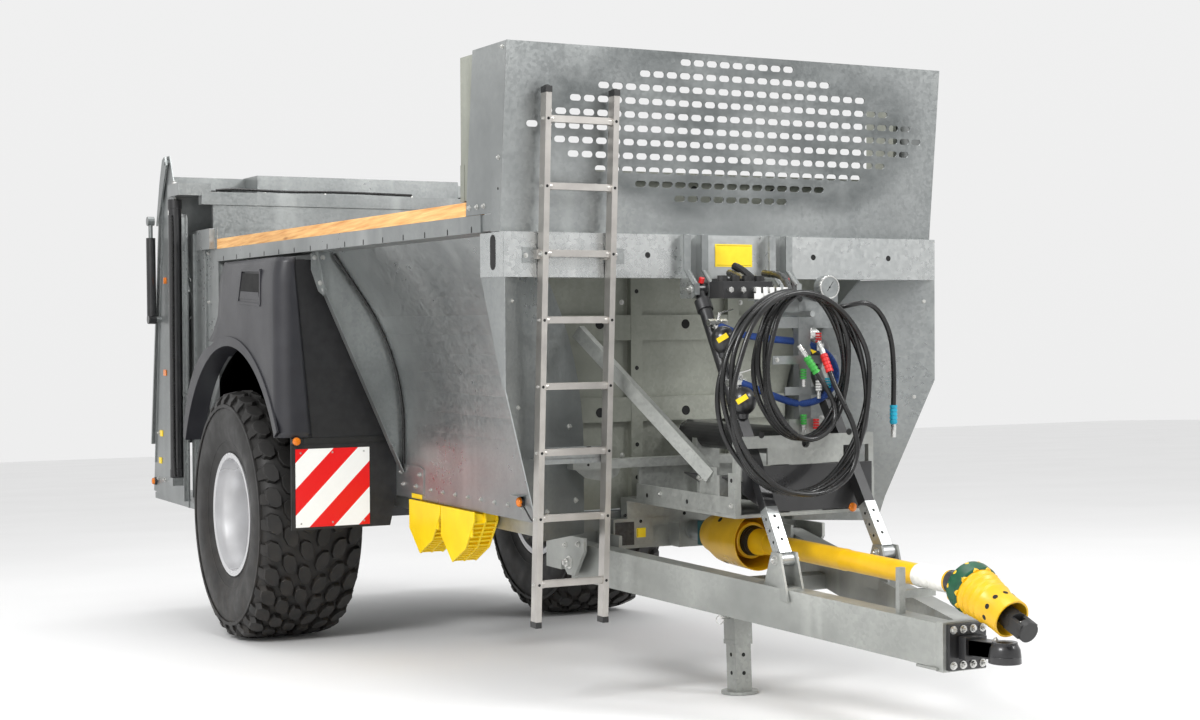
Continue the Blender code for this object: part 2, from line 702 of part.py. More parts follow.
def front_panel():
    """Upright guard panel with a folded cheek at each end; its slots come later."""
    foot_x = BEAM_FRONT_X - 0.045
    bottom = BEAM_TOP_Z + GAP
    top = bottom + PANEL_HEIGHT
    over_rim = RIM_TOP_Z + GAP
    rear_x = foot_x - PANEL_CHEEK_DEPTH
    face = sheet([(foot_x, bottom), (foot_x + SHEET, bottom), (foot_x + PANEL_LEAN + SHEET, top),
                  (foot_x + PANEL_LEAN, top)], "XZ", -RIM_HALF_WIDTH, RIM_HALF_WIDTH)
    foot = block((foot_x - 0.05, 0.002 - RIM_HALF_WIDTH, bottom), (foot_x + 0.003, RIM_HALF_WIDTH - 0.002, bottom + SHEET))
    pieces = [face, foot]
    for side in SIDES.values():
        outline = [(rear_x, over_rim), (BEAM_FRONT_X - BEAM_DEPTH - GAP, over_rim),
                   (BEAM_FRONT_X - BEAM_DEPTH - GAP, bottom + 0.001), (foot_x + 0.003, bottom + 0.001),
                   (foot_x + PANEL_LEAN + 0.003, top - 0.001), (rear_x + PANEL_LEAN, top - 0.001)]
        ends = sorted((side * (RIM_HALF_WIDTH - 0.001), side * (RIM_HALF_WIDTH - SHEET)))
        pieces.append(sheet(outline, "XZ", *ends))
    return fuse(*pieces)


def ladder_x(z):
    return LADDER_LOW_RUNG[0] + LADDER_LEAN * (z - LADDER_LOW_RUNG[1])


def ladder():
    low = LADDER_LOW_RUNG[1] - LADDER_FOOT_DROP
    high = LADDER_LOW_RUNG[1] + RUNG_SPACING * (RUNG_COUNT - 1) + LADDER_TOP_RISE
    half = LADDER_RAIL_WIDTH / 2
    rails = []
    for y in (LADDER_INNER_Y + half, LADDER_OUTER_Y - half):
        rail = sheet([(ladder_x(low) - LADDER_RAIL / 2, low), (ladder_x(low) + LADDER_RAIL / 2, low),
                      (ladder_x(high) + LADDER_RAIL / 2, high), (ladder_x(high) - LADDER_RAIL / 2, high)],
                     "XZ", y - half, y + half)
        rails.append(rail)
    rungs = []
    for i in range(RUNG_COUNT):
        z = LADDER_LOW_RUNG[1] + i * RUNG_SPACING
        rungs.append(block((ladder_x(z) - 0.015, LADDER_OUTER_Y - 0.005, z - 0.013),
                           (ladder_x(z) + 0.015, LADDER_INNER_Y + 0.005, z + 0.013)))
    bracket_z = (BEAM_BOTTOM_Z + BEAM_TOP_Z) / 2
    brackets = [block((BEAM_FRONT_X + GAP, y - 0.03, bracket_z - 0.02), (ladder_x(bracket_z), y + 0.03, bracket_z + 0.02))
                for y in (LADDER_INNER_Y + half, LADDER_OUTER_Y - half)]
    return fuse(*rails, *rungs, *brackets)


def front_frame():
    """Cross bar, braces and the console that carries the telescopic ram."""
    bar_x = corner_x(FRAME_BAR_HALF) + (GAP + SHEET) / cos(CORNER_ANGLE) + GAP
    half = CONSOLE_HALF_WIDTH
    base_z = CONSOLE_FLOOR_Z
    cross = block((bar_x, -FRAME_BAR_HALF, FRAME_BAR_Z[0]), (bar_x + FRAME_BAR_DEPTH, FRAME_BAR_HALF, FRAME_BAR_Z[1]))
    floor = block((WEB_FRONT_X - 0.06, -half, base_z), (CONSOLE_FRONT_X, half, base_z + CONSOLE_PLATE))
    riser = block((bar_x + 0.01, 0.01 - half, base_z + 0.005), (bar_x + 0.022, half - 0.01, FRAME_BAR_Z[0] + 0.01))
    end_x = (CONSOLE_FRONT_X - 0.03, CONSOLE_FRONT_X - 0.003)
    post = block((end_x[0], -RAM_RADIUS - 0.02, base_z + 0.005), (end_x[1], RAM_RADIUS + 0.02, CONSOLE_END_TOP))
    plate_x = (end_x[1] - 0.01, end_x[1])
    end_bar = block((plate_x[0], 0.005 - half, CONSOLE_END_Z[1] - 0.05), (plate_x[1], half - 0.005, CONSOLE_END_Z[1]))
    apron = block((plate_x[0], -APRON_HALF, CONSOLE_END_Z[0]), (plate_x[1], APRON_HALF, CONSOLE_END_Z[1] - 0.04))
    pieces = [cross, floor, riser, post, end_bar, apron]
    for side in SIDES.values():
        pieces.append(sided_block(side, (bar_x + 0.015, CONSOLE_FRONT_X - 0.002), (half - 0.012, half - 0.002),
                                  (base_z + 0.002, CONSOLE_LIP_TOP)))
        pieces.append(sided_block(side, end_x, (half - 0.03, half - 0.005), (base_z + 0.005, CONSOLE_END_Z[1])))
        pieces.append(sided_block(side, GUSSET_X, (half - 0.10, half - 0.004), (base_z + 0.005, GUSSET_TOP_Z)))
        pieces.append(bar((BRACE_TOP[0], side * BRACE_TOP[1], BRACE_TOP[2]),
                          (BRACE_FOOT[0], side * BRACE_FOOT[1], BRACE_FOOT[2]), 0.035, 0.06))
        pieces.append(sided_block(side, BRACE_SHOE_X, (half - 0.022, half - 0.01), (base_z + 0.006, BRACE_SHOE_TOP_Z)))
    for x in (RAM_REAR_X + 0.14, RAM_FRONT_X - 0.14):
        cradle = block((x, -0.06, base_z + 0.005), (x + 0.04, 0.06, RAM_Z))
        pieces.append(carve(cradle, rod((x - 0.1, 0, RAM_Z), (x + 0.2, 0, RAM_Z), RAM_RADIUS + GAP, segments=24)))
    frame = fuse(*pieces)
    return carve(frame, rod((CONSOLE_FRONT_X - 0.1, 0, RAM_Z), (CONSOLE_FRONT_X + 0.1, 0, RAM_Z), 0.02))


def ram_barrel():
    profile = tube_profile(RAM_RADIUS, RAM_RADIUS - RAM_WALL, RAM_REAR_X + 0.02, RAM_FRONT_X - 0.03)
    tube = turned(profile, (0, 0, RAM_Z), (1, 0, 0), steps=24)
    cap = rod((RAM_FRONT_X - 0.035, 0, RAM_Z), (CONSOLE_FRONT_X - 0.03 - GAP, 0, RAM_Z), RAM_RADIUS, segments=24)
    return fuse(tube, cap)


def tube_profile(outer, inner, low, high):
    return [(outer, high), (outer, low), (inner, low), (inner, high)]


def drawbar():
    pieces = []
    for side in SIDES.values():
        rear = (PIVOT_X - 0.04, side * (PIVOT_Y + 0.01), PIVOT_Z + 0.003)
        nose = (DRAWBAR_NOSE_X - NOSE_PLATE / 2, side * DRAWBAR_NOSE_Y, DRAWBAR_NOSE_Z)
        pieces.append(bar(rear, nose, DRAWBAR_WIDTH - 0.01, DRAWBAR_HEIGHT))
        ends = (PIVOT_EAR_INNER + PIVOT_EAR + GAP, PIVOT_EAR_OUTER - PIVOT_EAR - GAP)
        pieces.append(rod((PIVOT_X, side * ends[0], PIVOT_Z), (PIVOT_X, side * ends[1], PIVOT_Z), 0.03))
        for y in (STRUT_FOOT_Y - STRUT_EYE_HALF - LUG_THICKNESS, STRUT_FOOT_Y + STRUT_EYE_HALF):
            outline = [(STRUT_FOOT_X - 0.10, 0.70), (STRUT_FOOT_X + 0.09, 0.69),
                       (STRUT_FOOT_X + 0.03, STRUT_FOOT_Z + 0.03), (STRUT_FOOT_X - 0.03, STRUT_FOOT_Z + 0.03)]
            ends = sorted((side * y, side * (y + LUG_THICKNESS)))
            pieces.append(sheet(outline, "XZ", *ends))
        pieces.append(sided_block(side, (STRUT_FOOT_X - 0.07, STRUT_FOOT_X + 0.07),
                                  (STRUT_FOOT_Y - STRUT_EYE_HALF - LUG_THICKNESS, STRUT_FOOT_Y + STRUT_EYE_HALF + LUG_THICKNESS),
                                  (0.70, 0.745)))
    nose_half = DRAWBAR_NOSE_Y + DRAWBAR_WIDTH / 2 + 0.005
    nose_plate = block((DRAWBAR_NOSE_X - NOSE_PLATE, -nose_half, DRAWBAR_NOSE_Z - DRAWBAR_HEIGHT / 2 - 0.01),
                       (DRAWBAR_NOSE_X + 0.012, nose_half, DRAWBAR_NOSE_Z + DRAWBAR_HEIGHT / 2 + 0.01))
    gusset_z = DRAWBAR_NOSE_Z + 0.02
    gusset = sheet([(DRAWBAR_NOSE_X - 0.01, -DRAWBAR_NOSE_Y), (DRAWBAR_NOSE_X - 0.01, DRAWBAR_NOSE_Y),
                    (DRAWBAR_NOSE_X - 0.33, DRAWBAR_NOSE_Y + 0.08), (DRAWBAR_NOSE_X - 0.33, -DRAWBAR_NOSE_Y - 0.08)],
                   "XY", gusset_z, gusset_z + 0.012)
    cross_half = cross_member_half(JACK_X)
    cross = block((JACK_X - 0.06, -cross_half, 0.615), (JACK_X + 0.06, cross_half, 0.68))
    saddle_z = shaft_z(HOOK_X) - SHAFT_TUBE_RADIUS - 0.002
    hook = fuse(block((HOOK_X - 0.012, HOOK_Y - 0.014, 0.67), (HOOK_X + 0.012, HOOK_Y + 0.014, shaft_z(HOOK_X) + 0.04)),
                block((HOOK_X - 0.01, HOOK_Y, saddle_z - 0.03), (HOOK_X + 0.01, 0.05, saddle_z)))
    socket_half = JACK_TUBE / 2
    socket = block((-socket_half, -socket_half, JACK_SOCKET_BOTTOM), (socket_half, socket_half, JACK_SOCKET_TOP))
    bore_half = JACK_LEG / 2 + RUNNING_GAP
    bore = block((-bore_half, -bore_half, JACK_SOCKET_BOTTOM - 0.05), (bore_half, bore_half, JACK_SOCKET_TOP - 0.012))
    body = fuse(*pieces, nose_plate, gusset, cross, hook, moved(socket, jack_matrix()))
    return carve(body, moved(bore, jack_matrix()))


def cross_member_half(x):
    share = (x - PIVOT_X) / (DRAWBAR_NOSE_X - PIVOT_X)
    return PIVOT_Y + (DRAWBAR_NOSE_Y - PIVOT_Y) * share


def jack_matrix():
    """The jack's frame: upright on the ground when the machine is parked."""
    ground = (JACK_X * sin(PARK_PITCH) - TYRE_RADIUS * (1 - cos(PARK_PITCH))) / cos(PARK_PITCH)
    return Matrix.Translation((JACK_X, JACK_Y, ground)) @ Matrix.Rotation(-PARK_PITCH, 4, "Y")


def hitch_coupling():
    half = HITCH_PLATE_SIZE / 2
    back = DRAWBAR_NOSE_X + 0.012 + GAP
    plate = block((back, -half, DRAWBAR_NOSE_Z - half), (back + HITCH_PLATE, half, DRAWBAR_NOSE_Z + half))
    neck = bar((back + 0.01, 0, DRAWBAR_NOSE_Z), (HITCH_CUP_X, 0, HITCH_CUP_Z), 0.07, 0.06)
    cup = rod((HITCH_CUP_X, 0, HITCH_CUP_Z - 0.04), (HITCH_CUP_X, 0, HITCH_CUP_Z + 0.035), HITCH_CUP_RADIUS, 0.045)
    body = fuse(plate, neck, cup)
    return carve(body, ball((HITCH_CUP_X, 0, HITCH_CUP_Z - 0.035), HITCH_BALL_RADIUS))


def drawbar_strut(side):
    top = Vector((STRUT_TOP_X, side * STRUT_TOP_Y, STRUT_TOP_Z))
    foot = Vector((STRUT_FOOT_X, side * STRUT_FOOT_Y, STRUT_FOOT_Z))
    run = foot - top
    half = STRUT_EYE_HALF - GAP
    eye_top = rod(top - Vector((0, half, 0)), top + Vector((0, half, 0)), 0.03)
    eye_foot = rod(foot - Vector((0, half, 0)), foot + Vector((0, half, 0)), 0.028)
    barrel = rod(top + run * 0.012, top + run * 0.52, 0.028)
    tube = bar(top + run * 0.50, top + run * 0.985, 0.05, 0.05)
    return fuse(eye_top, barrel, tube, eye_foot)


def drive_bell():
    outer = BELL_RADIUS
    inner = BELL_RADIUS - BELL_WALL
    rear = BELL_REAR_RADIUS
    profile = [(outer, BELL_X[1]), (outer - 0.012, BELL_X[0] + 0.12), (rear, BELL_X[0]), (0.03, BELL_X[0]),
               (0.03, BELL_X[0] + BELL_WALL), (rear - BELL_WALL, BELL_X[0] + BELL_WALL),
               (inner - 0.012, BELL_X[0] + 0.12), (inner, BELL_X[1])]
    return turned(profile, (0, 0, SHAFT_Z), (1, 0, 0), steps=32)


def shaft_z(x):
    return SHAFT_Z - SHAFT_DROP * (x - SHAFT_PIVOT_X) / (SHAFT_FRONT_X - SHAFT_PIVOT_X)


def drive_shaft():
    """Guarded drive shaft, level to its front joint and drooping beyond it."""
    def at(x):
        return Vector((x, 0, shaft_z(x)))

    joint = ball(at(SHAFT_PIVOT_X), SHAFT_TUBE_RADIUS * 0.8)
    inner_cone = rod(at(SHAFT_PIVOT_X + 0.01), at(SHAFT_PIVOT_X + 0.18), 0.075, 0.05)
    tube = rod(at(SHAFT_PIVOT_X + 0.1), at(SHAFT_BEND_X + 0.04), SHAFT_TUBE_RADIUS)
    bend = at(SHAFT_BEND_X)
    end = shaft_end()
    cone = rod(bend, bend.lerp(end, 0.72), *SHAFT_CONE_RADII, segments=24)
    yoke = rod(bend.lerp(end, 0.7), end, 0.04)
    return fuse(joint, inner_cone, tube, cone, yoke)


def shaft_end():
    return Vector((SHAFT_FRONT_X, 0, shaft_z(SHAFT_BEND_X) - SHAFT_FRONT_DROP))


def fender(side):
    """Moulded shell: side panel, wheel arch and a front edge turned in."""
    inner_y = FENDER_Y - FENDER_DEPTH
    ends = sorted((side * inner_y, side * FENDER_Y))
    shell = sheet(fender_outline(0.0), "XZ", *ends)
    cut_ends = sorted((side * (inner_y - 0.05), side * (FENDER_Y - FENDER_WALL)))
    hollow = sheet(fender_outline(FENDER_WALL), "XZ", *cut_ends)
    rear_relief = sided_block(side, (-1.0, -0.56), (0.9, RIM_HALF_WIDTH + 0.012), (0.8, 2.3))
    wrap = [(inner_y - 0.05, FENDER_LOW_FRONT_Z - 0.1), (FENDER_WRAP_LOW_Y, FENDER_LOW_FRONT_Z - 0.1),
            (FENDER_WRAP_TOP_Y, FENDER_TOP_Z + 0.1), (inner_y - 0.05, FENDER_TOP_Z + 0.1)]
    front_relief = sheet(sided(wrap, side), "YZ", BOARD_X - 0.02, FENDER_FRONT_X + 0.02)
    board_slot = sided_block(side, (FENDER_FRONT_X - 0.08, FENDER_FRONT_X - FENDER_WALL),
                             (inner_y - 0.05, BOARD_OUTER_Y + 0.004), (FENDER_LOW_FRONT_Z - 0.02, FENDER_LOW_FRONT_Z + 0.02))
    return carve(shell, hollow, rear_relief, front_relief, board_slot)


def fender_outline(inset):
    arch = ARCH_RADIUS + inset
    low_z = FENDER_LOW_FRONT_Z + inset
    front = FENDER_FRONT_X - inset
    rear = FENDER_REAR_X + inset
    start = asin((low_z - TYRE_RADIUS) / arch)
    end = pi - asin((1.0 - TYRE_RADIUS) / arch)
    rear_limit = pi - atan2(sqrt(max(arch ** 2 - (rear - 0.06) ** 2, 0)), -(rear - 0.06))
    end = min(end, rear_limit)
    points = [(arch * cos(start + (end - start) * i / 14), TYRE_RADIUS + arch * sin(start + (end - start) * i / 14))
              for i in range(15)]
    lip_x, lip_z = points[-1]
    return points + [(lip_x - 0.05 + inset * 1.5, lip_z + 0.01), (-0.60 + inset, 1.62 - inset),
                     (-0.30 + inset, 1.76), (-0.20 + inset, 1.86), (-0.13 + inset, FENDER_TOP_Z - inset),
                     (front, FENDER_TOP_Z - inset), (front, low_z)]


def mud_board(side):
    """Board ahead of the wheel with the warning sign's plate on its front."""
    outline = [(BOARD_OUTER_Y, BOARD_BOTTOM_Z), (FLOOR_HALF_WIDTH + 0.045, BOARD_BOTTOM_Z)]
    outline += wall_edge(WALL_BOTTOM_Z, FENDER_TOP_Z - FENDER_WALL - SWING_GAP, SHEET + GAP)
    outline += [(BOARD_OUTER_Y, FENDER_TOP_Z - FENDER_WALL - SWING_GAP)]
    board = sheet(sided(outline, side), "YZ", BOARD_X, BOARD_X + BOARD_THICKNESS)
    sign_outer = BOARD_OUTER_Y - 0.022
    sign_low = BOARD_BOTTOM_Z + 0.014
    sign = sided_block(side, (BOARD_X + 0.005, BOARD_X + BOARD_THICKNESS + SIGN_THICKNESS),
                       (sign_outer - SIGN_SIZE, sign_outer), (sign_low, sign_low + SIGN_SIZE))
    return fuse(board, sign)


def wheel_chock(rear_x):
    top = WALL_BOTTOM_Z - GAP
    outline = [(rear_x, top), (rear_x + CHOCK_LENGTH, top), (rear_x + CHOCK_LENGTH, top - 0.05),
               (rear_x + CHOCK_LENGTH * 0.75, top - CHOCK_HEIGHT * 0.7), (rear_x + CHOCK_LENGTH * 0.35, top - CHOCK_HEIGHT),
               (rear_x, top - CHOCK_HEIGHT * 0.55)]
    outer = FLOOR_HALF_WIDTH + 0.04
    return sheet(outline, "XZ", -outer, -outer + CHOCK_WIDTH)


# ------------------------------------------------------------------ rear end


def rear_post(side):
    """Rear end frame: web across the trough's end, post and gate guides."""
    top = RIM_BOTTOM_Z - GAP
    outline = wall_edge(WALL_BOTTOM_Z, top, SHEET + GAP)
    outer = RIM_HALF_WIDTH - 0.003
    outline += [(outer, top), (outer, OVER_TYRE_Z), (0.64, OVER_TYRE_Z), (0.64, WALL_BOTTOM_Z)]
    web_x = TROUGH_REAR_X + 0.02
    web = sheet(sided(outline, side), "YZ", web_x - 0.012, web_x)
    edge = web_x + 0.003
    plate_outline = [(DECK_WIDE_X, DECK_TOP_Z + GAP), (DECK_WIDE_X, OVER_TYRE_Z + 0.01), (edge, OVER_TYRE_Z + 0.01),
                     (edge, top - 0.002), (TROUGH_REAR_X - GAP, top - 0.002), (TROUGH_REAR_X - GAP, POST_TOP_Z),
                     (POST_REAR_X, POST_TOP_Z), (POST_REAR_X, DECK_TOP_Z + GAP)]
    ends = sorted((side * (RIM_HALF_WIDTH - 0.006), side * RIM_HALF_WIDTH))
    plate = sheet(plate_outline, "XZ", *ends)
    guide_y = (GATE_HALF_WIDTH - 0.015, RIM_HALF_WIDTH - 0.003)
    guide_z = (DECK_TOP_Z + 0.002, POST_TOP_Z - 0.003)
    front_guide = sided_block(side, (GATE_X[1] + SWING_GAP, GATE_X[1] + 0.04), guide_y, guide_z)
    rear_guide = sided_block(side, (GATE_X[0] - 0.035, GATE_X[0] - SWING_GAP), guide_y, guide_z)
    bridge = sided_block(side, (GATE_X[0] - 0.02, GATE_X[1] + 0.03),
                         (GATE_HALF_WIDTH + SWING_GAP, RIM_HALF_WIDTH - 0.004), (DECK_TOP_Z + 0.004, POST_TOP_Z - 0.006))
    return fuse(web, plate, front_guide, rear_guide, bridge)


def lift_barrel(side):
    bore = LIFT_ROD_RADIUS + RUNNING_GAP
    profile = [(LIFT_RADIUS, LIFT_TOP_Z), (LIFT_RADIUS, LIFT_BOTTOM_Z), (bore, LIFT_BOTTOM_Z), (bore, LIFT_TOP_Z)]
    return turned(profile, (LIFT_X, side * LIFT_Y, 0), (0, 0, 1), steps=24)


def gate():
    """Guillotine gate with its top beam, lift arms and the rods under them."""
    low = FLOOR_TOP_Z + GATE_SEAT
    beam_top = GATE_TOP_Z + GATE_BEAM_HEIGHT
    plate = block((GATE_X[0], -GATE_HALF_WIDTH, low), (GATE_X[1], GATE_HALF_WIDTH, GATE_TOP_Z + 0.01))
    beam = block((GATE_X[0] - 0.03, -RIM_HALF_WIDTH, GATE_TOP_Z), (GATE_X[1] + 0.01, RIM_HALF_WIDTH, beam_top))
    pieces = [plate, beam]
    for side in SIDES.values():
        pieces.append(sided_block(side, (LIFT_X - 0.035, GATE_X[1] + 0.008), (RIM_HALF_WIDTH - 0.06, LIFT_Y + 0.035),
                                  LIFT_ARM_Z))
        pieces.append(rod((LIFT_X, side * LIFT_Y, LIFT_BOTTOM_Z + 0.12), (LIFT_X, side * LIFT_Y, LIFT_ARM_Z[0] + 0.02),
                          LIFT_ROD_RADIUS, segments=24))
    for z in (1.25, 1.75, 2.25):
        pieces.append(block((GATE_X[0] - 0.03, 0.06 - GATE_HALF_WIDTH, z), (GATE_X[0] + 0.005, GATE_HALF_WIDTH - 0.06, z + 0.06)))
    return fuse(*pieces)


def side_edge_x(z):
    """Rear edge of the spreader's side panels at a height."""
    share = (z - SIDE_LOW[1]) / (SIDE_TOP[1] - SIDE_LOW[1])
    return SIDE_LOW[0] + (SIDE_TOP[0] - SIDE_LOW[0]) * share


def spreader_side(side):
    """Side panel of the spreading unit, with its two pins and the lift's foot."""
    outline = [(SIDE_FRONT_X, DECK_TOP_Z - DECK_THICKNESS), SIDE_LOW, SIDE_TOP, (FLAP_HINGE[0] - 0.05, FLAP_HINGE[1] + 0.04),
               (FLAP_HINGE[0] + 0.05, FLAP_HINGE[1] + 0.04), (FLAP_HINGE[0] + 0.15, 2.70), (LIFT_X - 0.1, 2.52),
               (SIDE_FRONT_X, 2.50)]
    ends = sorted((side * SIDE_Y, side * (SIDE_Y + SHEET)))
    plate = sheet(outline, "XZ", *ends)
    inner = side * (SIDE_Y + 0.001)
    hinge_pin = rod((FLAP_HINGE[0], inner, FLAP_HINGE[1]),
                    (FLAP_HINGE[0], side * (FLAP_ARM_Y + FLAP_ARM + 0.004), FLAP_HINGE[1]), 0.018)
    foot_pin = rod((FLAP_PIN[0], inner, FLAP_PIN[1]),
                   (FLAP_PIN[0], side * (FLAP_CYLINDER_Y - 0.025 - GAP), FLAP_PIN[1]), 0.018)
    lift_foot = sided_block(side, (LIFT_X - 0.045, LIFT_X + 0.045), (SIDE_Y + 0.002, LIFT_Y + 0.04),
                            (LIFT_BOTTOM_Z - 0.05, LIFT_BOTTOM_Z - GAP))
    return fuse(plate, hinge_pin, foot_pin, lift_foot)


def spreader_deck():
    half = SIDE_Y - GAP
    deck = block((DECK_REAR_X, -half, DECK_TOP_Z - DECK_THICKNESS), (DECK_WIDE_X, half, DECK_TOP_Z))
    neck = block((DECK_WIDE_X - 0.02, -CHASSIS_RAIL_Y - 0.05, DECK_TOP_Z - DECK_THICKNESS + 0.002),
                 (DECK_FRONT_X, CHASSIS_RAIL_Y + 0.05, DECK_TOP_Z - 0.002))
    riser = block((DECK_FRONT_X - 0.03, -CHASSIS_RAIL_Y, DECK_TOP_Z - 0.01),
                  (CHASSIS_REAR_X - GAP, CHASSIS_RAIL_Y, FLOOR_TOP_Z - FLOOR_THICKNESS - GAP))
    return fuse(deck, neck, riser)


def spreader_top():
    half = SIDE_Y - GAP
    beam = block((-1.50, -half, 2.68), (-1.40, half, 2.76))
    cover = block((-1.45, -0.70, 2.61), (-1.14, 0.70, 2.765))
    return fuse(beam, cover)


def beater(level):
    z = BEATER_Z[level]
    half = SIDE_Y - GAP
    shaft = rod((BEATER_X, -half, z), (BEATER_X, half, z), 0.03)
    drum = rod((BEATER_X, -BEATER_HALF_LENGTH, z), (BEATER_X, BEATER_HALF_LENGTH, z), BEATER_DRUM_RADIUS, segments=16)
    teeth = []
    for i in range(BEATER_TEETH):
        y = -BEATER_HALF_LENGTH + 0.09 + i * (2 * BEATER_HALF_LENGTH - 0.18) / (BEATER_TEETH - 1)
        tooth = block((BEATER_DRUM_RADIUS * 0.7, y - 0.05, -0.012), (BEATER_TIP_RADIUS, y + 0.05, 0.012))
        turn = Matrix.Rotation(radians(75 * i + 20), 4, "Y")
        teeth.append(moved(tooth, Matrix.Translation((BEATER_X, 0, z)) @ turn))
    return fuse(drum, shaft, *teeth)


def spreading_disc(side):
    centre = Vector((DISC_X, side * DISC_Y, 0))
    disc = rod(centre + Vector((0, 0, DISC_Z)), centre + Vector((0, 0, DISC_Z + 0.01)), DISC_RADIUS, segments=32)
    hub = rod(centre + Vector((0, 0, DECK_TOP_Z + GAP)), centre + Vector((0, 0, DISC_Z + 0.02)), 0.06)
    vanes = []
    for i in range(DISC_VANES):
        vane = block((0.09, -0.005, DISC_Z + 0.005), (DISC_RADIUS - 0.01, 0.005, DISC_Z + 0.08))
        turn = Matrix.Rotation(2 * pi * i / DISC_VANES + side * 0.4, 4, "Z")
        vanes.append(moved(vane, Matrix.Translation(centre) @ turn))
    return fuse(disc, hub, *vanes)


def flap():
    """Rear flap: slanted sheet with an arm at each side up to the hinge."""
    top_z = 2.74
    low_z = FLAP_BOTTOM_Z
    back = 0.03
    half = FLAP_ARM_Y + FLAP_ARM
    rear = back + FLAP_THICKNESS
    panel = sheet([(side_edge_x(top_z) - back, top_z), (side_edge_x(low_z) - back, low_z),
                   (side_edge_x(low_z) - rear, low_z), (side_edge_x(top_z) - rear, top_z)],
                  "XZ", 0.003 - half, half - 0.003)
    pieces = [panel]
    arm_outline = [(FLAP_HINGE[0] + 0.035, FLAP_HINGE[1] - 0.02), (FLAP_HINGE[0], FLAP_HINGE[1] + 0.04),
                   (FLAP_HINGE[0] - 0.06, FLAP_HINGE[1] + 0.02),
                   (side_edge_x(top_z) - rear + 0.004, top_z - 0.004), (FLAP_EYE[0] - 0.02, FLAP_EYE[1] - 0.03),
                   (FLAP_EYE[0] + 0.03, FLAP_EYE[1] - 0.01)]
    for side in SIDES.values():
        ends = sorted((side * FLAP_ARM_Y, side * half))
        arm = sheet(arm_outline, "XZ", *ends)
        hole = rod((FLAP_HINGE[0], side * (FLAP_ARM_Y - 0.02), FLAP_HINGE[1]),
                   (FLAP_HINGE[0], side * (half + 0.02), FLAP_HINGE[1]), 0.018 + RUNNING_GAP)
        pieces.append(carve(arm, hole))
    return fuse(*pieces)


def flap_direction():
    return (Vector((FLAP_EYE[0], 0, FLAP_EYE[1])) - Vector((FLAP_PIN[0], 0, FLAP_PIN[1]))).normalized()


def flap_barrel(side):
    y = side * FLAP_CYLINDER_Y
    pin = Vector((FLAP_PIN[0], y, FLAP_PIN[1]))
    along = flap_direction()
    eye = rod(pin - Vector((0, 0.025, 0)), pin + Vector((0, 0.025, 0)), 0.032)
    bore = FLAP_ROD_RADIUS + RUNNING_GAP
    tube = turned(tube_profile(FLAP_CYLINDER_RADIUS, bore, 0.06, 0.06 + FLAP_BARREL_LENGTH), pin, along, steps=20)
    base = rod(pin + along * 0.02, pin + along * 0.065, FLAP_CYLINDER_RADIUS)
    return fuse(tube, base, eye)


def flap_rod(side):
    y = side * FLAP_CYLINDER_Y
    pin = Vector((FLAP_PIN[0], y, FLAP_PIN[1]))
    eye = Vector((FLAP_EYE[0], y, FLAP_EYE[1]))
    along = flap_direction()
    stem = rod(pin + along * 0.075, eye, FLAP_ROD_RADIUS)
    head = rod(eye - Vector((0, 0.022, 0)), eye + Vector((0, 0.022, 0)), 0.03)
    return fuse(stem, head)


# ------------------------------------------------------------- moving pieces


def tyre(side):
    r = TYRE_RADIUS
    half = TYRE_WIDTH / 2
    seat = RIM_SEAT_RADIUS + GAP
    bead = RIM_WIDTH / 2 - RIM_WALL - GAP
    hook = RIM_FLANGE_RADIUS + 0.004
    profile = [(r, 0.0), (r, -half * 0.42), (r - TYRE_CROWN_DROP, -half * 0.86), (r - 0.075, -half * 0.96),
               (r - 0.16, -half), (r - 0.27, -half * 0.97), (hook + 0.012, -half * 0.9), (hook, -bead), (seat, -bead),
               (seat, bead), (hook, bead), (hook + 0.012, half * 0.9), (r - 0.27, half * 0.97), (r - 0.16, half),
               (r - 0.075, half * 0.96), (r - TYRE_CROWN_DROP, half * 0.86), (r, half * 0.42)]
    return turned(profile, (0, side * TYRE_CENTRE_Y, TYRE_RADIUS), (0, 1, 0))


def rim(side):
    """Deep-dish rim: barrel with two flanges, a disc and a hub, on the stub."""
    half = RIM_WIDTH / 2
    seat = RIM_SEAT_RADIUS
    inner = seat - RIM_WALL
    disc = side * RIM_DISC_OFFSET
    bore = STUB_RADIUS + RUNNING_GAP
    hub = HUB_LENGTH / 2
    profile = [(RIM_FLANGE_RADIUS, half), (RIM_FLANGE_RADIUS, half - RIM_WALL), (seat, half - RIM_WALL),
               (seat, -half + RIM_WALL), (RIM_FLANGE_RADIUS, -half + RIM_WALL), (RIM_FLANGE_RADIUS, -half),
               (inner, -half), (inner, disc - 0.02), (0.20, disc - 0.012), (HUB_RADIUS, disc - hub),
               (bore, disc - hub), (bore, disc + hub), (HUB_RADIUS, disc + hub), (0.20, disc + 0.012),
               (inner, disc + 0.02), (inner, half)]
    return turned(profile, (0, side * TYRE_CENTRE_Y, TYRE_RADIUS), (0, 1, 0))


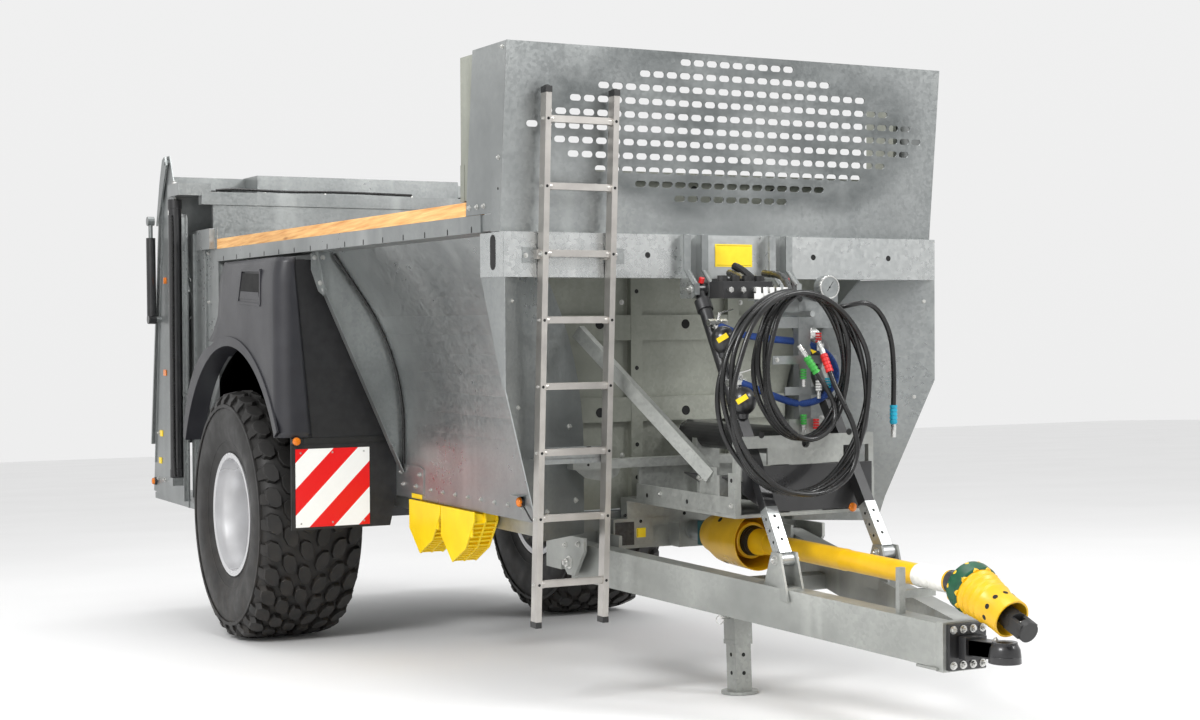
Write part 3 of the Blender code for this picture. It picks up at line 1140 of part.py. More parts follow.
def push_shield():
    """Front wall of the load: tulip-shaped below the rims, wide above them."""
    rear = SHIELD_FRONT_X - SHIELD_THICKNESS
    low = FLOOR_TOP_Z + SHIELD_CLEARANCE
    neck = RIM_TOP_Z - 0.01
    rib_front = SHIELD_FRONT_X + SHIELD_RIB
    wing_z = WOOD_TOP_Z + SHIELD_CLEARANCE
    lower = [(y - SHIELD_CLEARANCE, z) for y, z in wall_edge(low, RIM_BOTTOM_Z)]
    half = [*lower, (lower[-1][0], wing_z), (SHIELD_UPPER_HALF, wing_z), (SHIELD_UPPER_HALF, SHIELD_BOARD_TOP_Z)]
    outline = half + [(-y, z) for y, z in reversed(half)]
    board = sheet(outline, "YZ", rear, SHIELD_FRONT_X)
    pieces = [board]
    for side in SIDES.values():
        pieces.append(sided_block(side, (rear + 0.002, SHIELD_FRONT_X + SHIELD_CHEEK_REACH),
                                  (SHIELD_UPPER_HALF - SHIELD_CHEEK, SHIELD_UPPER_HALF - 0.002), (wing_z + 0.003, SHIELD_TOP_Z)))
        pieces.append(sided_block(side, (SHIELD_FRONT_X - 0.005, rib_front), (SHIELD_RIB_Y - 0.03, SHIELD_RIB_Y + 0.03),
                                  (low + 0.002, neck)))
        pieces.append(sided_block(side, (rear + 0.002, SHIELD_FRONT_X - 0.002), (SHIELD_RIB_Y - 0.05, SHIELD_RIB_Y + 0.05),
                                  (FLOOR_TOP_Z + GAP, low + 0.01)))
    for rail in SHIELD_RAILS:
        half_width = wall_y(rail[0]) - 2 * SHIELD_CLEARANCE
        pieces.append(block((SHIELD_FRONT_X - 0.004, -half_width, rail[0]), (rib_front - 0.002, half_width, rail[1])))
    pieces.append(rod((SHIELD_FRONT_X - 0.01, 0, RAM_Z), (RAM_FRONT_X - 0.06, 0, RAM_Z), stage_radius(RAM_STAGES + 1), segments=24))
    return fuse(*pieces)


def stage_radius(stage):
    return RAM_RADIUS - stage * (RAM_WALL + RUNNING_GAP)


def ram_stage(stage):
    outer = stage_radius(stage)
    profile = tube_profile(outer, outer - RAM_WALL, RAM_REAR_X, RAM_FRONT_X - 0.045)
    return turned(profile, (0, 0, RAM_Z), (1, 0, 0), steps=24)


def jack_leg():
    half = JACK_LEG / 2
    foot = rod((0, 0, 0), (0, 0, JACK_FOOT_THICKNESS), JACK_FOOT_RADIUS, segments=28)
    leg = block((-half, -half, JACK_FOOT_THICKNESS - 0.004), (half, half, JACK_LEG_TOP))
    return moved(fuse(leg, foot), jack_matrix())


# --------------------------------------------------------------------- hoses


def coil_centre_z():
    return COIL_TOP_Z - COIL_RADIUS - COIL_THICKNESS / 2


def hose_holder():
    """Post on the console with the holder plate, its peg and the gauge."""
    peg_z = COIL_TOP_Z - COIL_THICKNESS - GAP - 0.012
    post = block((CONSOLE_FRONT_X - 0.05, -0.03, CONSOLE_END_TOP + GAP), (CONSOLE_FRONT_X - 0.01, 0.03, COIL_TOP_Z - 0.04))
    plate = block((CONSOLE_FRONT_X - 0.02, -HOLDER_HALF_WIDTH, COIL_TOP_Z - 0.15),
                  (CONSOLE_FRONT_X - 0.012, HOLDER_HALF_WIDTH, COIL_TOP_Z - 0.01))
    peg = rod((CONSOLE_FRONT_X - 0.03, COIL_Y, peg_z), (HOSE_PLANE_X + 0.06, COIL_Y, peg_z), 0.012)
    gauge_z = COIL_TOP_Z + 0.02
    gauge = rod((CONSOLE_FRONT_X - 0.015, GAUGE_Y, gauge_z), (CONSOLE_FRONT_X + 0.03, GAUGE_Y, gauge_z), 0.05)
    return fuse(post, plate, peg, gauge)


def hose_coil():
    half = COIL_THICKNESS / 2
    middle = COIL_RADIUS
    profile = [(middle + half * cos(a), half * sin(a)) for a in [2 * pi * i / 8 for i in range(8)]]
    return turned(profile, (HOSE_PLANE_X, COIL_Y, coil_centre_z()), (1, 0, 0), steps=32)


def smooth_route(points, spacing):
    """Points along a Catmull-Rom curve through a route's own points."""
    knots = [Vector(p) for p in points]
    knots = [2 * knots[0] - knots[1]] + knots + [2 * knots[-1] - knots[-2]]
    route = []
    for a, b, c, d in zip(knots, knots[1:], knots[2:], knots[3:]):
        steps = max(2, round((c - b).length / spacing))
        for i in range(steps):
            t = i / steps
            route.append(0.5 * (2 * b + (c - a) * t + (2 * a - 5 * b + 4 * c - d) * t ** 2
                                + (3 * b - a - 3 * c + d) * t ** 3))
    return route + [knots[-2]]


HOSE_DROP_ROUTE = [(CONSOLE_FRONT_X - 0.009, 0.15, 1.86), (4.07, 0.155, 1.865), (4.10, 0.22, 1.885), (4.11, 0.31, 1.85),
                   (4.115, 0.375, 1.74), (4.12, 0.392, 1.58), (4.12, 0.39, 1.45)]


def hose_drop():
    return pipe(smooth_route(HOSE_DROP_ROUTE, 0.04), HOSE_RADIUS)


def hose_cap():
    end = Vector(HOSE_DROP_ROUTE[-1])
    away = (end - Vector(HOSE_DROP_ROUTE[-2])).normalized()
    start = end + away * 2 * GAP
    return rod(start, start + away * 0.09, 0.02, 0.017)


# ------------------------------------------------------------------ assembly


def add_static(machine):
    machine.node("chassis_frame", chassis_frame(), "galvanised")
    machine.node("axle_beam", axle_beam(), "black_steel")
    machine.node("trough_floor", trough_floor(), "galvanised")
    machine.node("front_beam", front_beam(), "galvanised")
    machine.node("front_panel", front_panel(), "galvanised")
    machine.node("front_frame", front_frame(), "galvanised")
    machine.node("ladder", ladder(), "aluminium")
    machine.node("ram_barrel", ram_barrel(), "black_steel")
    machine.node("drawbar", drawbar(), "galvanised")
    machine.node("hitch_coupling", hitch_coupling(), "black_steel")
    machine.node("drive_bell", drive_bell(), "yellow_plastic")
    machine.node("spreader_deck", spreader_deck(), "galvanised")
    machine.node("spreader_top", spreader_top(), "galvanised")
    machine.node("wheel_chock_front", wheel_chock(CHOCK_REAR_X[1]), "yellow_plastic")
    machine.node("wheel_chock_rear", wheel_chock(CHOCK_REAR_X[0]), "yellow_plastic")
    machine.node("hose_holder", hose_holder(), "galvanised")
    machine.node("hose_coil", hose_coil(), "hose_rubber")
    machine.node("hose_drop", hose_drop(), "hose_rubber")
    machine.node("hose_cap", hose_cap(), "blue_cap")
    for name, side in SIDES.items():
        machine.node("trough_wall_" + name, trough_wall(side), "galvanised")
        machine.node("wood_rail_" + name, wood_rail(side), "wood")
        machine.node("front_corner_" + name, front_corner(side), "galvanised")
        machine.node("drawbar_strut_" + name, drawbar_strut(side), "black_steel")
        machine.node("fender_" + name, fender(side), "fender_plastic")
        machine.node("mud_board_" + name, mud_board(side), "black_board")
        machine.node("rear_post_" + name, rear_post(side), "galvanised")
        machine.node("lift_barrel_" + name, lift_barrel(side), "black_steel")
        machine.node("spreader_side_" + name, spreader_side(side), "galvanised")


def add_moving(machine):
    for name, side in SIDES.items():
        machine.joint("wheel_" + name, (0, side * TYRE_CENTRE_Y, TYRE_RADIUS))
        machine.node("tyre_" + name, tyre(side), "rubber", "wheel_" + name)
        machine.node("rim_" + name, rim(side), "rim_silver", "wheel_" + name)
        machine.joint("disc_" + name, (DISC_X, side * DISC_Y, DISC_Z))
        machine.node("spreading_disc_" + name, spreading_disc(side), "galvanised", "disc_" + name)
        machine.joint("flap_barrel_" + name, (FLAP_PIN[0], side * FLAP_CYLINDER_Y, FLAP_PIN[1]))
        machine.node("flap_barrel_" + name, flap_barrel(side), "black_steel", "flap_barrel_" + name)
        machine.joint("flap_rod_" + name, (FLAP_EYE[0], side * FLAP_CYLINDER_Y, FLAP_EYE[1]))
        machine.node("flap_rod_" + name, flap_rod(side), "galvanised", "flap_rod_" + name)
    machine.joint("shield", (SHIELD_FRONT_X, 0, RAM_Z))
    machine.node("push_shield", push_shield(), "shield_board", "shield")
    for stage in range(1, RAM_STAGES + 1):
        machine.joint(f"stage_{stage}", (RAM_REAR_X, 0, RAM_Z))
        machine.node(f"ram_stage_{stage}", ram_stage(stage), "rim_silver", f"stage_{stage}")
    machine.joint("gate", (GATE_X[0], 0, FLOOR_TOP_Z))
    machine.node("gate", gate(), "galvanised", "gate")
    machine.joint("flap", (FLAP_HINGE[0], 0, FLAP_HINGE[1]))
    machine.node("flap", flap(), "galvanised", "flap")
    for level, z in BEATER_Z.items():
        machine.joint("beater_" + level, (BEATER_X, 0, z))
        machine.node("beater_" + level, beater(level), "galvanised", "beater_" + level)
    ground = jack_matrix().to_translation()
    machine.joint("jack", ground, -PARK_PITCH)
    machine.node("jack_leg", jack_leg(), "galvanised", "jack")
    machine.joint("shaft", (SHAFT_PIVOT_X, 0, shaft_z(SHAFT_PIVOT_X)))
    machine.node("drive_shaft", drive_shaft(), "yellow_plastic", "shaft")


def centre_on_origin(machine):
    """Shift the machine so that its box is centred over the origin, along X."""
    bpy.context.view_layer.update()
    reach = [(piece.matrix_world @ vertex.co).x
             for piece in machine.parts.objects if piece.type == "MESH"
             for vertex in piece.data.vertices]
    machine.machine.location.x -= (min(reach) + max(reach)) / 2
    bpy.context.view_layer.update()


def main():
    clear_scene()
    machine = Assembly()
    add_static(machine)
    add_moving(machine)
    centre_on_origin(machine)


main()
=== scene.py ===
from math import asin, atan2, cos, hypot, pi, radians, sin, sqrt, tan
from random import Random

import bmesh
import bpy
from mathutils import Matrix, Vector


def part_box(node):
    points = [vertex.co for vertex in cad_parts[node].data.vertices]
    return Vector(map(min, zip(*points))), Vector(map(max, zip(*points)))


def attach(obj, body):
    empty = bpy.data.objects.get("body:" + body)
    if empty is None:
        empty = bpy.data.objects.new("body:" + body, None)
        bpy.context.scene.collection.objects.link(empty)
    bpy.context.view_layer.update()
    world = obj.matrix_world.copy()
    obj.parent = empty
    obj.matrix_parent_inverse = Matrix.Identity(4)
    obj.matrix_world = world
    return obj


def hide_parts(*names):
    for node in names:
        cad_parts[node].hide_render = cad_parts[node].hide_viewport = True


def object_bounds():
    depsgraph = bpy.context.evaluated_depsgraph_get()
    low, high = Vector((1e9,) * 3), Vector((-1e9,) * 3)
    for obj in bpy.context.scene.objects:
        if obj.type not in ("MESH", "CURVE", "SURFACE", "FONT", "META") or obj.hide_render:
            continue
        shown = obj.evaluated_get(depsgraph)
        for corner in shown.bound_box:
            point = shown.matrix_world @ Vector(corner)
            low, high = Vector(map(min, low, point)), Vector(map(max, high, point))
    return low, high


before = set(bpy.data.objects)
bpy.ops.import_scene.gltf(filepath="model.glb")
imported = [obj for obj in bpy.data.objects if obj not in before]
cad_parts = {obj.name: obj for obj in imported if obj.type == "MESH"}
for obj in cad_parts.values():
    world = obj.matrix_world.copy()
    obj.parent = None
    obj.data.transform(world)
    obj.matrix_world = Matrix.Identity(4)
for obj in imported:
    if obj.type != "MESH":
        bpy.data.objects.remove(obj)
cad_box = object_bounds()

# ------------------------------------------------ the machine's own frame

PITCH = radians(2.9)
WHEEL_LOW, WHEEL_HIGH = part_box("rim_left")
AXLE = (WHEEL_LOW + WHEEL_HIGH) / 2
TYRE_RADIUS = 0.717
MACHINE = (Matrix.Translation((AXLE.x, 0, AXLE.z)) @ Matrix.Rotation(PITCH, 4, "Y")
           @ Matrix.Translation((0, 0, -TYRE_RADIUS)))
SIDES = {"left": 1, "right": -1}

TYRE_Y = 0.975
FLOOR_HALF = 0.56
SHEET = 0.006
KNEE_Z = 1.24
WALL_ARC = 1.22
WALL_FLARE = radians(35)
RIM_Z = (2.195, 2.27)
RIM_Y = 1.12
BEAM_X = 3.465
SHAFT_Z = 0.853
SHAFT_X = 3.43
SHAFT_BEND_X = 5.10
SHAFT_END_X = 5.43
SHAFT_SLOPE = 0.027 / 2.0
SHAFT_DROOP = 0.13


def wall_y(z, offset=0.0):
    """Half width of the trough at a height, offset outwards from its inside."""
    radius = WALL_ARC - offset
    arc_top = KNEE_Z + radius * sin(WALL_FLARE)
    centre = FLOOR_HALF + WALL_ARC
    if z <= KNEE_Z:
        return FLOOR_HALF + offset
    if z <= arc_top:
        return centre - sqrt(radius ** 2 - (z - KNEE_Z) ** 2)
    return centre - radius * cos(WALL_FLARE) + (z - arc_top) * tan(WALL_FLARE)


# ---------------------------------------------------------------- camera

YAW, TILT, ROLL = radians(152.0134), radians(1.4893), radians(-1.6649)
forward = Vector((cos(TILT) * cos(YAW), cos(TILT) * sin(YAW), sin(TILT)))
right = forward.cross(Vector((0, 0, 1))).normalized()
up = right.cross(forward)
bpy.context.scene.view_settings.view_transform = "Standard"
camera_data = bpy.data.cameras.new("camera")
camera_data.sensor_width = 36
camera_data.lens = 56.80
camera_data.clip_start = 0.1
camera_data.clip_end = 200
camera = bpy.data.objects.new("camera", camera_data)
bpy.context.scene.collection.objects.link(camera)
turn = Matrix((right * cos(ROLL) + up * sin(ROLL), up * cos(ROLL) - right * sin(ROLL), -forward))
camera.matrix_world = Matrix.Translation((10.6564 + AXLE.x, -4.4674, 1.2605)) @ turn.transposed().to_4x4()
bpy.context.scene.camera = camera

# -------------------------------------------------------------- materials


class Surface:
    """A node material built up from noise, cells and bump on one shader."""

    def __init__(self, name, roughness=0.5, metallic=0.0, **constants):
        self.material = bpy.data.materials.new(name)
        self.material.use_nodes = True
        self.tree = self.material.node_tree
        self.shader = self.tree.nodes["Principled BSDF"]
        self.shader.inputs["Metallic"].default_value = metallic
        self.shader.inputs["Roughness"].default_value = roughness
        for socket, value in constants.items():
            self.shader.inputs[socket.replace("_", " ")].default_value = value
        self.place = self.add("ShaderNodeTexCoord").outputs["Object"]

    def add(self, kind, **inputs):
        node = self.tree.nodes.new(kind)
        for key, value in inputs.items():
            socket = node.inputs[key.replace("_", " ")]
            if isinstance(value, bpy.types.NodeSocket):
                self.tree.links.new(value, socket)
            else:
                socket.default_value = value
        return node

    def stretched(self, scale):
        node = self.add("ShaderNodeMapping", Vector=self.place)
        node.inputs["Scale"].default_value = scale
        return node.outputs["Vector"]

    def noise(self, scale, detail=4.0, stretch=None, roughness=0.55):
        where = self.stretched(stretch) if stretch else self.place
        node = self.add("ShaderNodeTexNoise", Vector=where, Scale=scale, Detail=detail, Roughness=roughness)
        return node.outputs["Fac"]

    def cells(self, scale):
        node = self.add("ShaderNodeTexVoronoi", Vector=self.place, Scale=scale)
        return self.add("ShaderNodeSeparateColor", Color=node.outputs["Color"]).outputs["Red"]

    def spread(self, value, low, high, start=0.3, end=0.7):
        node = self.tree.nodes.new("ShaderNodeMapRange")
        self.tree.links.new(value, node.inputs["Value"])
        for key, number in (("From Min", start), ("From Max", end), ("To Min", low), ("To Max", high)):
            node.inputs[key].default_value = number
        return node.outputs["Result"]

    def math(self, operation, a, b=0.0):
        node = self.tree.nodes.new("ShaderNodeMath")
        node.operation = operation
        for socket, value in zip(node.inputs, (a, b)):
            if isinstance(value, bpy.types.NodeSocket):
                self.tree.links.new(value, socket)
            else:
                socket.default_value = value
        return node.outputs["Value"]

    def blend(self, factor, a, b):
        node = self.tree.nodes.new("ShaderNodeMix")
        node.data_type = "RGBA"
        self.tree.links.new(factor, node.inputs[0])
        for index, value in ((6, a), (7, b)):
            if isinstance(value, bpy.types.NodeSocket):
                self.tree.links.new(value, node.inputs[index])
            else:
                node.inputs[index].default_value = (*value, 1)
        return node.outputs[2]

    def colour(self, value):
        self.tree.links.new(value, self.shader.inputs["Base Color"])
        return self

    def rough(self, value):
        self.tree.links.new(value, self.shader.inputs["Roughness"])
        return self

    def bump(self, height, strength=0.3, distance=0.001):
        node = self.add("ShaderNodeBump", Height=height, Strength=strength, Distance=distance)
        self.tree.links.new(node.outputs["Normal"], self.shader.inputs["Normal"])
        return self


def zinc(name, low, high, roughness, metallic, cell_scale=55, patina=0.5):
    """Hot-dip galvanising: small spangle, cloudy patina and pale run marks."""
    s = Surface(name, roughness, metallic)
    spangle = s.cells(cell_scale)
    fine = s.noise(2.6, 7, (1, 1, 0.3))
    cloud = s.noise(1.3, 5)
    runs = s.noise(3.2, 3, (1.0, 1.0, 0.12))
    tone = s.math("ADD", s.math("MULTIPLY", spangle, 0.16), s.math("MULTIPLY", fine, 0.86))
    base = s.blend(s.spread(tone, 0, 1, 0.25, 0.85), low, high)
    dull = tuple(c * 0.80 for c in low)
    clouded = s.blend(s.spread(cloud, 0, patina, 0.42, 0.66), base, dull)
    pale = tuple(min(1, c * 1.22) for c in high)
    s.colour(s.blend(s.spread(runs, 0, 0.5, 0.56, 0.74), clouded, pale))
    mix = s.math("ADD", s.math("MULTIPLY", spangle, 0.4), cloud)
    s.rough(s.spread(mix, roughness - 0.09, roughness + 0.13, 0.3, 1.0))
    return s.bump(s.math("ADD", s.noise(45, 4), s.math("MULTIPLY", s.noise(3.5, 2), 2.5)), 0.22, 0.0016).material


def stained_panel():
    """Zinc with the dark stained oval that surrounds the slots."""
    material = zinc("zinc_panel", (0.24, 0.255, 0.255), (0.43, 0.445, 0.44), 0.36, 0.78, 70, 0.6)
    tree = material.node_tree
    shader = tree.nodes["Principled BSDF"]
    s = Surface.__new__(Surface)
    s.material, s.tree, s.shader = material, tree, shader
    s.place = s.add("ShaderNodeTexCoord").outputs["Object"]
    parts = s.add("ShaderNodeSeparateXYZ", Vector=s.place)
    across = s.math("POWER", s.math("ABSOLUTE", s.math("DIVIDE", parts.outputs["Y"], 0.98)), 2.6)
    upward = s.math("POWER", s.math("ABSOLUTE", s.math("DIVIDE", s.math("SUBTRACT", parts.outputs["Z"], 2.47), 0.36)), 2.6)
    reach = s.math("ADD", s.math("ADD", across, upward), s.math("MULTIPLY", s.noise(2.4, 6), 1.3))
    oval = s.spread(reach, 1.0, 0.0, 1.35, 1.9)
    streak = s.spread(s.noise(5, 7, (1, 0.6, 1.6)), 0.25, 1.0, 0.3, 0.75)
    before = shader.inputs["Base Color"].links[0].from_socket
    s.colour(s.blend(s.math("MULTIPLY", oval, streak), before, (0.115, 0.125, 0.125)))
    return material


def paint(name, low, high, roughness, scale=30, bump=0.1, metallic=0.0, grain=250, **constants):
    s = Surface(name, roughness, metallic, **constants)
    s.colour(s.blend(s.spread(s.noise(scale, 5), 0, 1), low, high))
    s.rough(s.spread(s.noise(scale * 0.4, 4), roughness - 0.06, roughness + 0.1))
    return s.bump(s.noise(grain, 3), bump, 0.0005).material


def dusty(name, low, high, roughness, dust, top, bump=0.3, grain=120):
    """A dark surface whose low parts carry a film of pale dust."""
    s = Surface(name, roughness)
    height = s.add("ShaderNodeSeparateXYZ", Vector=s.place).outputs["Z"]
    film = s.math("MULTIPLY", s.spread(height, 1, 0, 0.0, top), s.spread(s.noise(14, 6), 0.0, 0.8, 0.40, 0.72))
    base = s.blend(s.spread(s.noise(22, 5), 0, 1), low, high)
    s.colour(s.blend(film, base, dust))
    s.rough(s.spread(s.noise(9, 4), roughness - 0.08, roughness + 0.12))
    return s.bump(s.noise(grain, 4), bump, 0.001).material


def wood_material():
    s = Surface("wood_grain", 0.62)
    grain = s.noise(26, 8, (0.10, 1.0, 2.2), 0.7)
    knots = s.add("ShaderNodeTexVoronoi", Vector=s.stretched((0.55, 2.2, 2.6)), Scale=4.2).outputs["Distance"]
    base = s.blend(s.spread(grain, 0, 1, 0.32, 0.66), (0.55, 0.23, 0.060), (0.90, 0.55, 0.22))
    s.colour(s.blend(s.spread(knots, 0.85, 0.0, 0.03, 0.13), base, (0.24, 0.09, 0.03)))
    return s.bump(grain, 0.5, 0.002).material


def stripe_material():
    """Red and white diagonal marking, ten centimetres a stripe."""
    s = Surface("marking_stripes", 0.32)
    parts = s.add("ShaderNodeSeparateXYZ", Vector=s.place)
    along = s.math("SUBTRACT", parts.outputs["Y"], parts.outputs["Z"])
    phase = s.math("FRACT", s.math("DIVIDE", s.math("ADD", along, STRIPE_PHASE), 0.2828))
    edge = s.math("GREATER_THAN", phase, 0.5)
    film = s.spread(s.noise(60, 5), 0.0, 0.10)
    red = s.blend(film, (0.80, 0.002, 0.004), (0.60, 0.004, 0.006))
    white = s.blend(film, (0.93, 0.93, 0.91), (0.78, 0.78, 0.76))
    s.colour(s.blend(edge, red, white))
    return s.bump(s.noise(500, 2), 0.05, 0.0003).material


def woven_material():
    s = Surface("woven_sleeve", 0.75)
    wave = s.add("ShaderNodeTexWave", Vector=s.place, Scale=160, Distortion=2.5).outputs["Fac"]
    s.colour(s.blend(wave, (0.003, 0.018, 0.11), (0.012, 0.06, 0.26)))
    return s.bump(wave, 0.6, 0.001).material


STRIPE_PHASE = 0.045
M = {
    "panel": stained_panel(),
    "galvanised": zinc("zinc_plate", (0.235, 0.25, 0.25), (0.43, 0.445, 0.44), 0.33, 0.80, 70, 0.65),
    # Painted highlight: a lighter copy of the galvanised zinc, standing in for the sheen the front light puts on the
    # beam.
    "zinc_painted_highlight": zinc("zinc_painted_highlight", (0.42, 0.44, 0.44), (0.60, 0.61, 0.60), 0.27, 0.82, 60, 0.4),
    "zinc_dull": zinc("zinc_dull", (0.28, 0.29, 0.275), (0.54, 0.55, 0.52), 0.42, 0.62, 70, 0.9),
    "aluminium": paint("ladder_aluminium", (0.40, 0.38, 0.36), (0.52, 0.50, 0.47), 0.36, 8, 0.12, 0.85, 300),
    "black_steel": paint("black_paint", (0.010, 0.010, 0.011), (0.020, 0.020, 0.021), 0.32, 12, 0.08, 0.0, 200,
                         Coat_Weight=0.25),
    "black_board": dusty("board_plastic", (0.009, 0.009, 0.010), (0.017, 0.017, 0.018), 0.50, (0.05, 0.048, 0.045), 1.2),
    "fender_plastic": paint("fender_plastic", (0.019, 0.019, 0.023), (0.030, 0.030, 0.035), 0.36, 5, 0.35, 0.0, 900),
    "rubber": dusty("tyre_rubber", (0.006, 0.0055, 0.005), (0.012, 0.011, 0.010), 0.52, (0.034, 0.027, 0.021), 1.1, 0.5),
    "rim_silver": paint("rim_paint", (0.60, 0.60, 0.61), (0.70, 0.70, 0.71), 0.28, 6, 0.05, 0.55, 220),
    "wood": wood_material(),
    "shield_board": zinc("board_pale", (0.22, 0.23, 0.195), (0.40, 0.41, 0.36), 0.42, 0.55, 70, 0.8),
    "shield_steel": zinc("zinc_shield", (0.24, 0.25, 0.22), (0.42, 0.43, 0.38), 0.42, 0.6, 70, 0.6),
    "yellow_plastic": paint("yellow_plastic", (0.66, 0.37, 0.004), (0.80, 0.47, 0.008), 0.32, 9, 0.12, 0.0, 320),
    "chock_yellow": paint("chock_plastic", (0.90, 0.60, 0.002), (0.97, 0.70, 0.005), 0.34, 7, 0.2, 0.0, 300),
    "hose_rubber": paint("hose_rubber", (0.003, 0.003, 0.003), (0.008, 0.008, 0.008), 0.27, 40, 0.35, 0.0, 400),
    "blue_cap": paint("cap_blue", (0.01, 0.05, 0.42), (0.015, 0.08, 0.55), 0.35, 30),
    "flange": paint("flange_paint", (0.00, 0.06, 0.07), (0.01, 0.09, 0.10), 0.4, 30),
    "collar": paint("collar_green", (0.0, 0.055, 0.024), (0.004, 0.085, 0.036), 0.36, 30),
    "teal": paint("cap_teal", (0.00, 0.28, 0.42), (0.01, 0.36, 0.52), 0.4, 30),
    "green": paint("cap_green", (0.03, 0.32, 0.04), (0.05, 0.42, 0.06), 0.4, 30),
    "red": paint("cap_red", (0.55, 0.01, 0.012), (0.68, 0.02, 0.02), 0.35, 30),
    "white": paint("white_plastic", (0.74, 0.74, 0.72), (0.84, 0.84, 0.82), 0.45, 20),
    "chrome": paint("plated_steel", (0.62, 0.62, 0.60), (0.74, 0.74, 0.72), 0.24, 60, 0.08, 1.0),
    "bolt": paint("plated_bolts", (0.48, 0.48, 0.46), (0.66, 0.66, 0.64), 0.32, 90, 0.15, 0.9),
    # Painted shade: this near-black stands in for the dark depth of holes and slots; the same black also prints gauge
    # ticks and label rules.
    "hole": paint("painted_hole_shade_and_print", (0.008, 0.008, 0.008), (0.014, 0.014, 0.014), 0.9, 30),
    "cap_black": paint("black_caps", (0.010, 0.010, 0.010), (0.018, 0.018, 0.018), 0.42, 30, 0.2),
    "amber": paint("amber_lens", (0.85, 0.20, 0.005), (0.95, 0.28, 0.01), 0.14, 120, 0.2, Transmission_Weight=0.25),
    "label": paint("label_yellow", (0.90, 0.62, 0.01), (0.95, 0.70, 0.02), 0.35, 20, 0.03),
    "plate": paint("plate_dark", (0.02, 0.02, 0.022), (0.05, 0.05, 0.052), 0.35, 60, 0.03),
    "wrap": paint("wrap_film", (0.72, 0.71, 0.66), (0.86, 0.85, 0.80), 0.28, 45, 0.6, 0.0, 90),
    "sleeve": woven_material(),
    "stripes": stripe_material(),
    "dial": paint("dial_face", (0.80, 0.80, 0.78), (0.86, 0.86, 0.84), 0.3, 20, 0.02),
}

for name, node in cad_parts.items():
    slot = node.data.materials[0].name.split(".")[0] if node.data.materials else "galvanised"
    node.data.materials.clear()
    node.data.materials.append(M.get(slot, M["galvanised"]))
for name in ("drawbar", "front_frame", "chassis_frame", "jack_leg"):
    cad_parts[name].data.materials[0] = M["zinc_dull"]
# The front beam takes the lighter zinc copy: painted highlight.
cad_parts["front_beam"].data.materials[0] = M["zinc_painted_highlight"]

# ---------------------------------------------------------- solid builder

PLANES = {"YZ": ((0, 1, 0), (0, 0, 1), (1, 0, 0)), "XZ": ((1, 0, 0), (0, 0, 1), (0, 1, 0)),
          "XY": ((1, 0, 0), (0, 1, 0), (0, 0, 1))}


